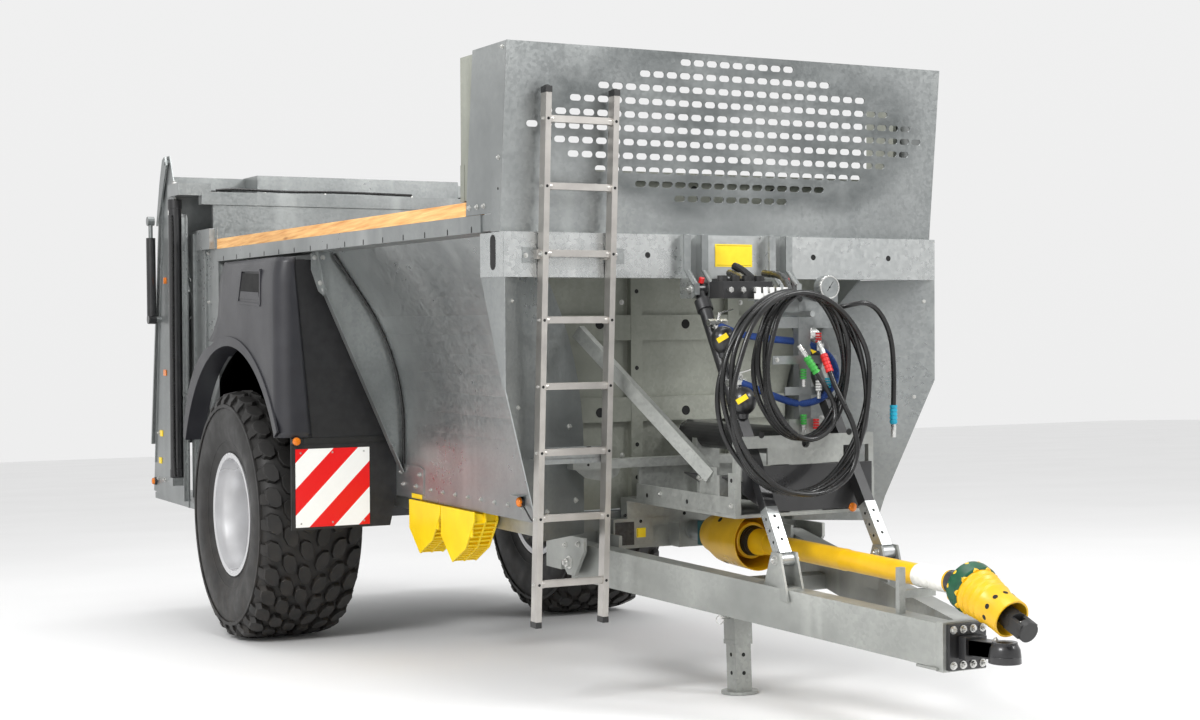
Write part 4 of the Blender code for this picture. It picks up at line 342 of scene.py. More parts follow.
class Piece:
    """Gathers shapes given in the machine's frame and ends as one object."""

    def __init__(self, *materials):
        self.bm = bmesh.new()
        self.materials = materials
        self.index = 0

    def use(self, material):
        self.index = self.materials.index(material)
        return self

    def faces_of(self, verts):
        for face in {f for v in verts for f in v.link_faces}:
            face.material_index = self.index

    def cube(self, matrix):
        made = bmesh.ops.create_cube(self.bm, size=1, matrix=matrix)
        self.faces_of(made["verts"])
        return self

    def block(self, low, high):
        low, high = Vector(low), Vector(high)
        size = [abs(c) for c in high - low]
        return self.cube(Matrix.Translation((low + high) / 2) @ Matrix.Diagonal((*size, 1)))

    def sided(self, side, x, y, z):
        return self.block((x[0], side * y[0], z[0]), (x[1], side * y[1], z[1]))

    def bar(self, start, end, width, height, roll=(0, 0, 1)):
        start = Vector(start)
        run = Vector(end) - start
        along = run.normalized()
        across = Vector(roll).cross(along).normalized()
        spin = Matrix((along, across, along.cross(across))).transposed().to_4x4()
        return self.cube(Matrix.Translation(start + run / 2) @ spin @ Matrix.Diagonal((run.length, width, height, 1)))

    def rod(self, start, end, radius, end_radius=None, segments=20):
        start = Vector(start)
        run = Vector(end) - start
        spin = run.to_track_quat("Z", "Y").to_matrix().to_4x4()
        made = bmesh.ops.create_cone(self.bm, cap_ends=True, segments=segments, radius1=radius,
                                     radius2=radius if end_radius is None else end_radius, depth=run.length,
                                     matrix=Matrix.Translation(start + run / 2) @ spin)
        self.faces_of(made["verts"])
        return self

    def ball(self, centre, radius, scale=(1, 1, 1)):
        matrix = Matrix.Translation(centre) @ Matrix.Diagonal((*scale, 1))
        made = bmesh.ops.create_uvsphere(self.bm, u_segments=20, v_segments=12, radius=radius, matrix=matrix)
        self.faces_of(made["verts"])
        return self

    def bolt(self, at, axis, size=0.011):
        """A washer, a hexagon head and the thread's end, standing on a face."""
        at, axis = Vector(at), Vector(axis).normalized()
        self.rod(at, at + axis * 0.003, size * 1.35, segments=16)
        self.rod(at + axis * 0.003, at + axis * (0.003 + size * 0.75), size, size * 0.94, segments=6)
        return self.rod(at + axis * size * 0.8, at + axis * size * 1.5, size * 0.45, segments=10)

    def slab(self, outline, plane, low, high):
        across, upward, out = (Vector(v) for v in PLANES[plane])
        rings = []
        for level in (low, high):
            rings.append([self.bm.verts.new(across * a + upward * b + out * level) for a, b in outline])
        count = len(outline)
        faces = [self.bm.faces.new(rings[0][::-1]), self.bm.faces.new(rings[1])]
        for i in range(count):
            j = (i + 1) % count
            faces.append(self.bm.faces.new((rings[0][i], rings[0][j], rings[1][j], rings[1][i])))
        for face in faces:
            face.material_index = self.index
        return self

    def lathe(self, profile, centre, axis, steps=64, closed=True):
        spin = Vector(axis).to_track_quat("Z", "Y").to_matrix().to_4x4()
        place = Matrix.Translation(centre) @ spin
        rings = []
        for i in range(steps):
            angle = 2 * pi * i / steps
            rings.append([self.bm.verts.new(place @ Vector((r * cos(angle), r * sin(angle), h))) for r, h in profile])
        last = len(profile) if closed else len(profile) - 1
        for i in range(steps):
            here, there = rings[i], rings[(i + 1) % steps]
            for k in range(last):
                n = (k + 1) % len(profile)
                face = self.bm.faces.new((here[k], there[k], there[n], here[n]))
                face.material_index = self.index
        return self

    def tube(self, points, radius, segments=10, closed=False):
        """A round tube with a steady section along a line of points."""
        points = [Vector(p) for p in points]
        count = len(points)
        rings = []
        normal = None
        for i, point in enumerate(points):
            before = points[i - 1] if (i or closed) else point
            after = points[(i + 1) % count] if (i < count - 1 or closed) else point
            along = (after - before).normalized()
            if normal is None:
                normal = along.orthogonal().normalized()
            normal = (normal - along * normal.dot(along)).normalized()
            across = along.cross(normal)
            size = radius(i / (count - 1)) if callable(radius) else radius
            rings.append([self.bm.verts.new(point + (normal * cos(2 * pi * k / segments)
                                                     + across * sin(2 * pi * k / segments)) * size)
                          for k in range(segments)])
        for i in range(count if closed else count - 1):
            here, there = rings[i], rings[(i + 1) % count]
            for k in range(segments):
                n = (k + 1) % segments
                self.bm.faces.new((here[k], here[n], there[n], there[k])).material_index = self.index
        if not closed:
            self.bm.faces.new(rings[0][::-1]).material_index = self.index
            self.bm.faces.new(rings[-1]).material_index = self.index
        return self

    def finish(self, name, body, slot, bevel=0.0, smooth=38, replaces=(), frame_matrix=MACHINE, segments=2):
        bmesh.ops.recalc_face_normals(self.bm, faces=self.bm.faces)
        mesh = bpy.data.meshes.new(name)
        self.bm.to_mesh(mesh)
        self.bm.free()
        mesh.transform(frame_matrix)
        for key in self.materials:
            mesh.materials.append(M[key])
        mesh.shade_smooth()
        mesh.set_sharp_from_angle(angle=radians(smooth))
        return dress(name, mesh, body, bevel, replaces, segments)


def dress(name, mesh, body, bevel=0.0, replaces=(), segments=2):
    piece = bpy.data.objects.new(name, mesh)
    bpy.context.scene.collection.objects.link(piece)
    if bevel:
        soften(piece, bevel, segments)
    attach(piece, body)
    if replaces:
        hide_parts(*replaces)
    return piece


def soften(piece, width, segments=2):
    edge = piece.modifiers.new("soft_edges", "BEVEL")
    edge.width = width
    edge.segments = segments
    edge.limit_method = "ANGLE"
    edge.angle_limit = radians(35)
    edge.harden_normals = True
    return edge


def perforated(outline, holes, thickness, place):
    """A flat plate with holes, filled by a curve and set in place."""
    curve = bpy.data.curves.new("outline", "CURVE")
    curve.dimensions = "2D"
    curve.fill_mode = "BOTH"
    curve.extrude = thickness / 2
    for loop in [outline, *holes]:
        spline = curve.splines.new("POLY")
        spline.points.add(len(loop) - 1)
        for point, (a, b) in zip(spline.points, loop):
            point.co = (a, b, 0, 1)
        spline.use_cyclic_u = True
    holder = bpy.data.objects.new("outline", curve)
    bpy.context.scene.collection.objects.link(holder)
    graph = bpy.context.evaluated_depsgraph_get()
    mesh = bpy.data.meshes.new_from_object(holder.evaluated_get(graph))
    bpy.data.objects.remove(holder)
    mesh.transform(MACHINE @ place)
    bm = bmesh.new()
    bm.from_mesh(mesh)
    bmesh.ops.remove_doubles(bm, verts=bm.verts, dist=0.0001)
    bm.to_mesh(mesh)
    bm.free()
    return mesh


def long_hole(centre, length, height, turned=False, steps=6):
    """Outline of a slot with round ends."""
    r = height / 2
    reach = length / 2 - r
    loop = []
    for side in (1, -1):
        for i in range(steps + 1):
            angle = -pi / 2 + pi * i / steps + (0 if side > 0 else pi)
            loop.append((side * reach + r * cos(angle), r * sin(angle)))
    if turned:
        loop = [(b, a) for a, b in loop]
    return [(centre[0] + a, centre[1] + b) for a, b in loop]


def smooth_line(points, spacing=0.02):
    """Points along a Catmull-Rom curve through a route's own points."""
    knots = [Vector(p) for p in points]
    knots = [2 * knots[0] - knots[1]] + knots + [2 * knots[-1] - knots[-2]]
    line = []
    for a, b, c, d in zip(knots, knots[1:], knots[2:], knots[3:]):
        steps = max(2, round((c - b).length / spacing))
        for i in range(steps):
            t = i / steps
            line.append(0.5 * (2 * b + (c - a) * t + (2 * a - 5 * b + 4 * c - d) * t ** 2
                               + (3 * b - a - 3 * c + d) * t ** 3))
    return line + [knots[-2]]


# ------------------------------------------------------------------ cords

HOSE = 0.022


def loops(lead, centre, radii, turns, x, tail):
    """A hose that leaves its clip, hangs in turns over the peg and ends in its parked tail."""
    route = [Vector(p) for p in lead]
    steps = round(turns * 16)
    for i in range(1, steps + 1):
        angle = pi / 2 + 2 * pi * i / 16
        depth = x[0] + (x[1] - x[0]) * i / steps
        sway = 1 + 0.035 * sin(i * 1.7) - 0.06 * (i / steps)
        route.append(Vector((depth, centre[0] + radii[0] * sway * cos(angle), centre[1] + radii[1] * sin(angle))))
    return smooth_line(route + [Vector(p) for p in tail], 0.022)


def lay_cord(name, line, replaces=(), diameter=HOSE,
             material="hose_rubber", slot="hose_rubber", radius=None):
    hose = Piece(material).tube(line, radius or diameter / 2, 12)
    hose = hose.finish(name, "chassis", slot, replaces=replaces)
    return hose


def coupler(name, end, direction, colour):
    """A ribbed coloured grip and its plated nipple."""
    end, along = Vector(end), Vector(direction).normalized()
    grip = Piece(colour, "chrome", "cap_black")
    for i in range(5):
        a = end + along * (0.016 * i - 0.002)
        grip.rod(a, a + along * 0.012, 0.0165, segments=16).rod(a + along * 0.011, a + along * 0.017, 0.0135, segments=16)
    grip.use("chrome").rod(end + along * 0.075, end + along * 0.105, 0.0125, segments=6)
    grip.rod(end + along * 0.105, end + along * 0.135, 0.0105)
    return grip.finish(name, "chassis", "blue_cap", bevel=0.001)


outer = loops([(4.028, -0.02, 1.900), (4.078, -0.075, 1.922), (4.115, -0.155, 1.930)],
              (-0.13, 1.515), (0.355, 0.41), 3.5, (4.125, 4.225),
              [(4.227, -0.01, 1.117), (4.227, 0.085, 1.175), (4.227, 0.125, 1.27), (4.218, 0.115, 1.37),
               (4.195, 0.085, 1.46), (4.165, 0.06, 1.54), (4.14, 0.05, 1.60)])
inner = loops([(4.028, 0.06, 1.900), (4.060, 0.01, 1.914), (4.080, -0.06, 1.922)],
              (-0.075, 1.625), (0.215, 0.30), 3.5, (4.085, 4.185),
              [(4.187, -0.01, 1.345), (4.180, 0.045, 1.395), (4.160, 0.055, 1.468), (4.132, 0.035, 1.535),
               (4.110, 0.005, 1.595)])
red_grip = coupler("coupler_red", outer[-1], outer[-1] - outer[-2], "red")
green_grip = coupler("coupler_green", inner[-1], inner[-1] - inner[-2], "green")
lay_cord("hose_outer", outer, replaces=("hose_coil",))
lay_cord("hose_inner", inner)

DROP = [(4.031, 0.15, 1.86), (4.062, 0.156, 1.866), (4.091, 0.174, 1.873), (4.110, 0.208, 1.881),
        (4.116, 0.255, 1.883), (4.116, 0.312, 1.853), (4.117, 0.36, 1.785), (4.118, 0.385, 1.70),
        (4.12, 0.392, 1.58), (4.12, 0.39, 1.45)]
drop = smooth_line(DROP, 0.02)
cap_end = Vector(DROP[-1])
teal_cap = coupler("coupler_teal", cap_end, (0, 0, -1), "teal")
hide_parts("hose_cap")
lay_cord("hose_drop_line", drop, replaces=("hose_drop",))

SLEEVE = [(3.672, -0.22, 1.79), (3.72, -0.21, 1.785), (3.82, -0.18, 1.755), (3.93, -0.10, 1.735), (4.01, 0.02, 1.715),
          (4.05, 0.11, 1.66), (4.055, 0.14, 1.57), (4.045, 0.08, 1.49), (4.02, -0.02, 1.465), (3.96, -0.12, 1.50),
          (3.89, -0.19, 1.54), (3.835, -0.22, 1.56)]
sleeve = smooth_line(SLEEVE, 0.012)
sleeve_hose = lay_cord("hose_sleeve", sleeve, diameter=0.03, material="sleeve")

# ------------------------------------------------------------ floor, light

floor_mesh = bpy.data.meshes.new("floor")
floor_mesh.from_pydata([(-60, -60, 0), (60, -60, 0), (60, 60, 0), (-60, 60, 0)], [], [(0, 1, 2, 3)])
floor_look = Surface("floor_pale", 0.8)
floor_look.colour(floor_look.blend(floor_look.spread(floor_look.noise(0.5, 3), 0, 1),
                                   (0.80, 0.80, 0.80), (0.83, 0.83, 0.83)))
floor_mesh.materials.append(floor_look.material)
floor = bpy.data.objects.new("floor", floor_mesh)
floor.location.z = cad_box[0].z - 0.002
bpy.context.scene.collection.objects.link(floor)


def make_world():
    sky = bpy.data.worlds.new("studio")
    bpy.context.scene.world = sky
    sky.use_nodes = True
    tree = sky.node_tree
    coords = tree.nodes.new("ShaderNodeTexCoord")
    parts = tree.nodes.new("ShaderNodeSeparateXYZ")
    ramp = tree.nodes.new("ShaderNodeValToRGB")
    tree.links.new(coords.outputs["Generated"], parts.inputs[0])
    tree.links.new(parts.outputs["Z"], ramp.inputs[0])
    ramp.color_ramp.elements[0].position = 0.0
    ramp.color_ramp.elements[0].color = (0.93, 0.93, 0.93, 1)
    ramp.color_ramp.elements[1].position = 0.9
    ramp.color_ramp.elements[1].color = (1.0, 1.0, 1.0, 1)
    tree.links.new(ramp.outputs["Color"], tree.nodes["Background"].inputs["Color"])
    tree.nodes["Background"].inputs["Strength"].default_value = 0.92


def area_light(name, place, target, size, power):
    data = bpy.data.lights.new(name, "AREA")
    data.shape = "RECTANGLE"
    data.size, data.size_y = size
    data.energy = power
    lamp = bpy.data.objects.new(name, data)
    lamp.location = place
    lamp.rotation_euler = (Vector(target) - Vector(place)).to_track_quat("-Z", "Y").to_euler()
    bpy.context.scene.collection.objects.link(lamp)


make_world()
area_light("key", (5.0, -6.5, 6.0), (1.4, 0, 1.4), (3, 2), 520)
area_light("front_high", (7.5, 4.0, 6.0), (1.2, 0, 1.6), (2.5, 2), 330)
area_light("overhead", (-1.0, 0.0, 8.0), (-1, 0, 0), (6, 4), 300)

# ------------------------------------------------------------ wheels


def carcass_profile():
    half = 0.30
    r = TYRE_RADIUS - 0.024
    outer_line = [(r, 0), (r - 0.001, 0.10), (r - 0.006, 0.18), (r - 0.016, 0.235), (r - 0.034, 0.268), (r - 0.065, 0.288),
                  (r - 0.11, 0.297), (r - 0.16, half - 0.0005), (r - 0.21, 0.296), (r - 0.25, 0.286), (r - 0.285, 0.272),
                  (r - 0.31, 0.262), (0.366, 0.262), (0.358, 0.256)]
    inner_line = [(0.3335, 0.254)]
    whole = outer_line + inner_line
    return [(a, -b) for a, b in reversed(whole)] + whole[1:]


def tread_top(b):
    """Radius of the tread's outside at a distance from the middle plane."""
    a = abs(b)
    top = TYRE_RADIUS - 0.0012
    return top if a < 0.13 else top - 0.016 * ((a - 0.13) / 0.13) ** 2


def tyre(name, side):
    piece = Piece("rubber")
    centre = Vector((0, side * TYRE_Y, TYRE_RADIUS))
    piece.lathe(carcass_profile(), centre, (0, 1, 0), 108, closed=True)
    for k in (-1, 1):
        for radius, width, height in ((0.625, 0.010, 0.002), (0.50, 0.006, 0.0025), (0.425, 0.006, 0.0025)):
            y = 0.2995 if radius > 0.6 else (0.2965 if radius > 0.45 else 0.2795)
            piece.lathe([(radius - width, k * (y - 0.02)), (radius + width, k * (y - 0.02)),
                         (radius + width, k * (y - 0.0006)), (radius - width, k * (y - 0.0006))], centre, (0, 1, 0), 96)
    rng = Random(7 + side)
    count = 30
    columns = [(-0.232, 0.062, 0.0), (-0.140, 0.060, 0.5), (-0.047, 0.058, 0.0), (0.047, 0.058, 0.5),
               (0.140, 0.060, 0.0), (0.232, 0.062, 0.5)]
    bm = piece.bm
    for y, width, phase in columns:
        for i in range(count):
            middle = (i + phase) * 2 * pi / count
            lean = 0.016 if y > 0 else -0.016
            sector = 2 * pi / count
            shape = [(-0.37, -0.30), (-0.10, -0.50), (0.26, -0.44), (0.42, -0.12), (0.38, 0.32), (0.08, 0.50),
                     (-0.28, 0.42), (-0.42, 0.08)]
            swing = rng.uniform(-0.04, 0.04)
            top_ring, low_ring = [], []
            for u, v in shape:
                across = y + v * width * 1.42 + lean * u
                angle = middle + (u * 0.98 + swing + 0.12 * v * (1 if y > 0 else -1)) * sector
                across = max(-0.292, min(0.292, across))
                for ring, radius, shrink in ((low_ring, TYRE_RADIUS - 0.05 - (0.03 if abs(across) > 0.27 else 0), 1.06),
                                             (top_ring, tread_top(across), 0.93)):
                    b = y + (across - y) * shrink
                    b = max(-0.2985, min(0.2985, b))
                    a = middle + (angle - middle) * shrink
                    ring.append(bm.verts.new(centre + Vector((radius * cos(a), b, radius * sin(a)))))
            faces = [bm.faces.new(top_ring), bm.faces.new(low_ring[::-1])]
            for j in range(8):
                n = (j + 1) % 8
                faces.append(bm.faces.new((low_ring[j], low_ring[n], top_ring[n], top_ring[j])))
    for k in (-1, 1):
        for i in range(count):
            a0 = (i + (0.5 if k > 0 else 0.0)) * 2 * pi / count
            rings = []
            for radius, y, half in ((TYRE_RADIUS - 0.022, 0.262, 0.050), (TYRE_RADIUS - 0.060, 0.289, 0.046),
                                    (TYRE_RADIUS - 0.105, 0.2965, 0.034)):
                rings.append([bm.verts.new(centre + Vector((radius * cos(a0 + d), k * yy, radius * sin(a0 + d))))
                              for d, yy in ((-half, y), (half, y), (half, y - 0.03), (-half, y - 0.03))])
            for a, b in zip(rings, rings[1:]):
                for j in range(4):
                    n = (j + 1) % 4
                    bm.faces.new((a[j], a[n], b[n], b[j]))
            bm.faces.new(rings[0])
            bm.faces.new(rings[-1][::-1])
    piece.finish("tyre_" + name + "_tread", "wheel_" + name, "rubber", bevel=0.0025, smooth=32,
                 replaces=("tyre_" + name,), segments=1)


def rim(name, side):
    centre = Vector((0, side * TYRE_Y, TYRE_RADIUS))
    s = side
    piece = Piece("rim_silver", "bolt", "hole", "cap_black")
    profile = [(0.3325, -0.262), (0.352, -0.262), (0.3548, -0.2645), (0.3535, -0.2645), (0.322, -0.262), (0.318, -0.235),
               (0.300, -0.215), (0.293, -0.16), (0.292, -0.06), (0.250, -0.045), (0.20, -0.04), (0.115, -0.045),
               (0.112, -0.022), (0.20, -0.018), (0.252, -0.022), (0.296, -0.03), (0.300, 0.10), (0.304, 0.17),
               (0.318, 0.205), (0.322, 0.23), (0.325, 0.262), (0.3535, 0.2645), (0.3548, 0.2645), (0.352, 0.256),
               (0.3325, 0.254), (0.331, 0.0)]
    piece.lathe([(r, s * h) for r, h in profile], centre, (0, 1, 0), 96)
    out = Vector((0, s, 0))
    for ring_r, height in ((0.235, 0.0), (0.285, 0.006)):
        piece.lathe([(ring_r - 0.006, s * (-0.03)), (ring_r + 0.006, s * (-0.03)), (ring_r + 0.004, s * (-0.012 + height)),
                     (ring_r - 0.004, s * (-0.012 + height))], centre, (0, 1, 0), 72)
    for i in range(10):
        angle = 2 * pi * i / 10
        at = centre + Vector((0.1675 * cos(angle), s * -0.019, 0.1675 * sin(angle)))
        piece.use("bolt").rod(at, at + out * 0.004, 0.021)
        piece.rod(at + out * 0.003, at + out * 0.026, 0.016, segments=6).rod(at + out * 0.02, at + out * 0.042, 0.010)
    # Five near-black discs on the dish: painted shade for the rim's hand holes.
    for i in range(5):
        angle = 2 * pi * (i + 0.5) / 5
        at = centre + Vector((0.262 * cos(angle), s * -0.0235, 0.262 * sin(angle)))
        piece.use("hole").rod(at, at + out * 0.0035, 0.019, segments=24)
    piece.use("rim_silver").lathe([(0.113, s * -0.04), (0.113, s * 0.035), (0.104, s * 0.045), (0.080, s * 0.047),
                                   (0.072, s * 0.085), (0.064, s * 0.094), (0.0005, s * 0.096), (0.0005, s * -0.04)],
                                  centre, (0, 1, 0), 48)
    piece.use("cap_black").rod(centre + Vector((0.284, s * 0.03, 0)), centre + Vector((0.262, s * 0.075, 0)), 0.006)
    piece.finish("rim_" + name + "_dish", "wheel_" + name, "rim_silver", smooth=30, replaces=("rim_" + name,))


for name, side in SIDES.items():
    tyre(name, side)
    rim(name, side)

# ------------------------------------------------------------ front panel

PANEL_FOOT = Vector((BEAM_X - 0.045, 0, 2.1903))
PANEL_UP = Vector((0.08, 0, 0.79)).normalized()
PANEL_OUT = Vector((0, 1, 0)).cross(PANEL_UP)
PANEL_TALL = hypot(0.08, 0.79)


def panel_place(out=0.003):
    spin = Matrix((Vector((0, 1, 0)), PANEL_UP, PANEL_OUT)).transposed().to_4x4()
    return Matrix.Translation(PANEL_FOOT + PANEL_OUT * out) @ spin


def front_panel():
    counts = (9, 15, 21, 25, 29, 31, 29, 25, 21, 15, 9)
    holes = []
    for row, count in enumerate(counts):
        height = (2.937 - 0.0588 * row - PANEL_FOOT.z) / PANEL_UP.z
        for i in range(count):
            holes.append(long_hole(((i - (count - 1) / 2) * 0.0665 + 0.01, height), 0.055, 0.027))
    half = RIM_Y - 0.0005
    outline = [(-half, 0.0), (half, 0.0), (half, PANEL_TALL), (-half, PANEL_TALL)]
    mesh = perforated(outline, holes, SHEET, panel_place())
    mesh.materials.append(M["panel"])
    mesh.shade_flat()
    dress("panel_face", mesh, "chassis", replaces=("front_panel",))
    folds = Piece("galvanised", "bolt", "hole")
    rear = PANEL_FOOT.x - 0.34
    top = PANEL_FOOT.z + 0.79
    for side in SIDES.values():
        outline = [(rear, 2.2713), (BEAM_X - 0.125, 2.2713), (BEAM_X - 0.125, 2.192), (PANEL_FOOT.x + 0.002, 2.192),
                   (PANEL_FOOT.x + 0.082, top - 0.001), (rear + 0.08, top - 0.001)]
        ends = sorted((side * (RIM_Y - 0.0005), side * (RIM_Y - SHEET)))
        folds.use("galvanised").slab(outline, "XZ", *ends)
        fold_x = rear + 0.004
        folds.bar((fold_x, side * (RIM_Y - 0.016), 2.275), (fold_x + 0.08, side * (RIM_Y - 0.016), top - 0.004), 0.03, SHEET)
        for z in (2.955, 2.50):
            folds.use("bolt").bolt((PANEL_FOOT.x - 0.03 + (z - 2.19) * 0.101, side * (RIM_Y - 0.0005), z), (0, side, 0), 0.008)
        # A near-black dot on the cheek: painted shade for a hole.
        folds.use("hole").rod((PANEL_FOOT.x - 0.008, side * (RIM_Y - 0.002), 2.37),
                              (PANEL_FOOT.x - 0.008, side * (RIM_Y + 0.0006), 2.37), 0.006)
        for x in (3.12, 3.20, 3.27):
            folds.use("bolt").bolt((x, side * (RIM_Y - 0.0005), 2.305), (0, side, 0), 0.009)
    folds.use("galvanised").block((PANEL_FOOT.x - 0.05, -RIM_Y + 0.008, 2.1905), (PANEL_FOOT.x + 0.003, RIM_Y - 0.008, 2.1965))
    folds.bar(PANEL_FOOT + PANEL_UP * (PANEL_TALL - 0.003) - Vector((0.018, RIM_Y - 0.01, 0)),
              PANEL_FOOT + PANEL_UP * (PANEL_TALL - 0.003) + Vector((-0.018, RIM_Y - 0.01, 0)), 0.042, 0.005)
    for y in (-0.95, -0.5, 0.0, 0.5, 0.95):
        folds.use("bolt").bolt((PANEL_FOOT.x - 0.025, y, 2.1965), (0, 0, 1), 0.009)
    folds.finish("panel_cheeks", "chassis", "galvanised", bevel=0.0015)


front_panel()

# --------------------------------------------------------- front beam, ladder


# A thin near-black disc laid on a face: painted shade standing in for a hole's dark depth.
def disc_mark(piece, at, axis, radius, thickness=0.0004):
    at, axis = Vector(at), Vector(axis).normalized()
    return piece.rod(at - axis * 0.001, at + axis * thickness, radius, segments=24)


def lamp(piece, at, out, radius=0.03):
    """A marker lamp: black foot and a domed amber lens."""
    at, out = Vector(at), Vector(out).normalized()
    piece.use("cap_black").rod(at, at + out * 0.014, radius * 1.12, radius)
    piece.use("amber").rod(at + out * 0.013, at + out * 0.024, radius * 0.95, radius * 0.86)
    piece.ball(at + out * 0.022, radius * 0.86, [0.35 if abs(c) > 0.7 else 1.0 for c in out])
    return piece


def beam_details():
    d = Piece("bolt", "hole", "label", "galvanised", "cap_black", "chrome")
    face = BEAM_X + 0.0002
    for side in SIDES.values():
        # Near-black slot shapes and discs on the beam: painted shade for its holes.
        loop = long_hole((3.365, 2.105), 0.15, 0.052, turned=True)
        ends = sorted((side * (RIM_Y + 0.001), side * (RIM_Y + 0.0042)))
        d.use("hole").slab(loop, "XZ", *ends)
        for y in (0.432, 0.852):
            disc_mark(d, (face, side * y, 2.099), (1, 0, 0), 0.013)
        for y in (STRUT_Y - 0.044, STRUT_Y + 0.044):
            d.use("galvanised").bar((BEAM_X + 0.052, side * y, 2.188), (BEAM_X + 0.052, side * y, 2.03), 0.034, 0.008, (1, 0, 0))
            d.bar((BEAM_X + 0.051, side * y, 2.033), (BEAM_X + 0.125, side * y, 1.965), 0.030, 0.008, (1, 0, 0))
            d.bar((BEAM_X + 0.131, side * y, 1.975), (BEAM_X + 0.131, side * y, 1.925), 0.026, 0.008, (1, 0, 0))
    d.use("label").block((face, -0.091, 2.052), (face + 0.002, 0.102, 2.152))
    d.use("hole").block((face + 0.0019, -0.085, 2.058), (face + 0.0022, 0.096, 2.0595))
    d.block((face + 0.0019, -0.085, 2.1445), (face + 0.0022, 0.096, 2.146))
    for y in (-0.60, -0.985):
        d.use("galvanised").block((face, y - 0.05, 2.060), (face + 0.004, y + 0.05, 2.125))
        d.use("bolt").bolt((face + 0.004, y - 0.035, 2.09), (1, 0, 0), 0.008)
    d.finish("beam_details", "chassis", "galvanised", bevel=0.0006)


STRUT_Y = 0.22
beam_details()


def ladder_x(z):
    return 3.42 + 0.057 * (z - 0.698)


def ladder_details():
    d = Piece("aluminium", "cap_black", "bolt", "hole", "galvanised")
    low, high = 0.698 - 0.18, 0.698 + 0.28 * 7 + 0.13
    inner, outer = -0.645, -0.94
    for y in (inner + 0.013, outer - 0.013):
        for z, step in ((low, 1), (high, -1)):
            x = ladder_x(z)
            d.use("cap_black").block((x - 0.0265, y - 0.0145, z - step * 0.004), (x + 0.0265, y + 0.0145, z + step * 0.022))
        d.use("cap_black").ball((ladder_x(high), y, high + 0.004), 0.014, (1.6, 0.9, 0.5))
        for k in range(8):
            z = 0.698 + 0.28 * k
            x = ladder_x(z)
            side = 1 if y == inner + 0.013 else -1
            d.use("bolt").bolt((x, y + side * 0.0131, z), (0, side, 0), 0.006)
            # Near-black dot on the rail: painted shade for a hole.
            d.use("hole").rod((x + 0.0245, y, z), (x + 0.0256, y, z), 0.0065)
            d.use("aluminium").rod((x, y, z), (x, y - side * 0.03, z), 0.019, 0.017)
    for k in range(8):
        z = 0.698 + 0.28 * k
        x = ladder_x(z)
        for i in range(4):
            d.use("aluminium").block((x - 0.0125 + i * 0.0068, outer + 0.002, z + 0.0125),
                                     (x - 0.0095 + i * 0.0068, inner - 0.002, z + 0.0158))
    z = 1.255
    x = ladder_x(z) - 0.03
    d.use("galvanised").block((x - 0.10, outer - 0.005, z - 0.03), (x - 0.004, inner + 0.005, z - 0.024))
    d.block((x - 0.010, outer - 0.005, z - 0.05), (x - 0.004, inner + 0.005, z + 0.022))
    for y in (outer + 0.03, inner - 0.03):
        d.use("bolt").bolt((x - 0.004, y, z), (1, 0, 0), 0.008)
        d.use("cap_black").rod((x - 0.004, y - 0.028, z + 0.01), (x + 0.012, y - 0.028, z + 0.01), 0.012)
    for y in (inner + 0.026, outer - 0.026):
        d.use("bolt").bolt((ladder_x(2.095) + 0.006, y, 2.095), (0, 1 if y > -0.7 else -1, 0), 0.010)
    d.finish("ladder_details", "chassis", "aluminium", bevel=0.0008)


ladder_details()

# -------------------------------------------------------------- struts


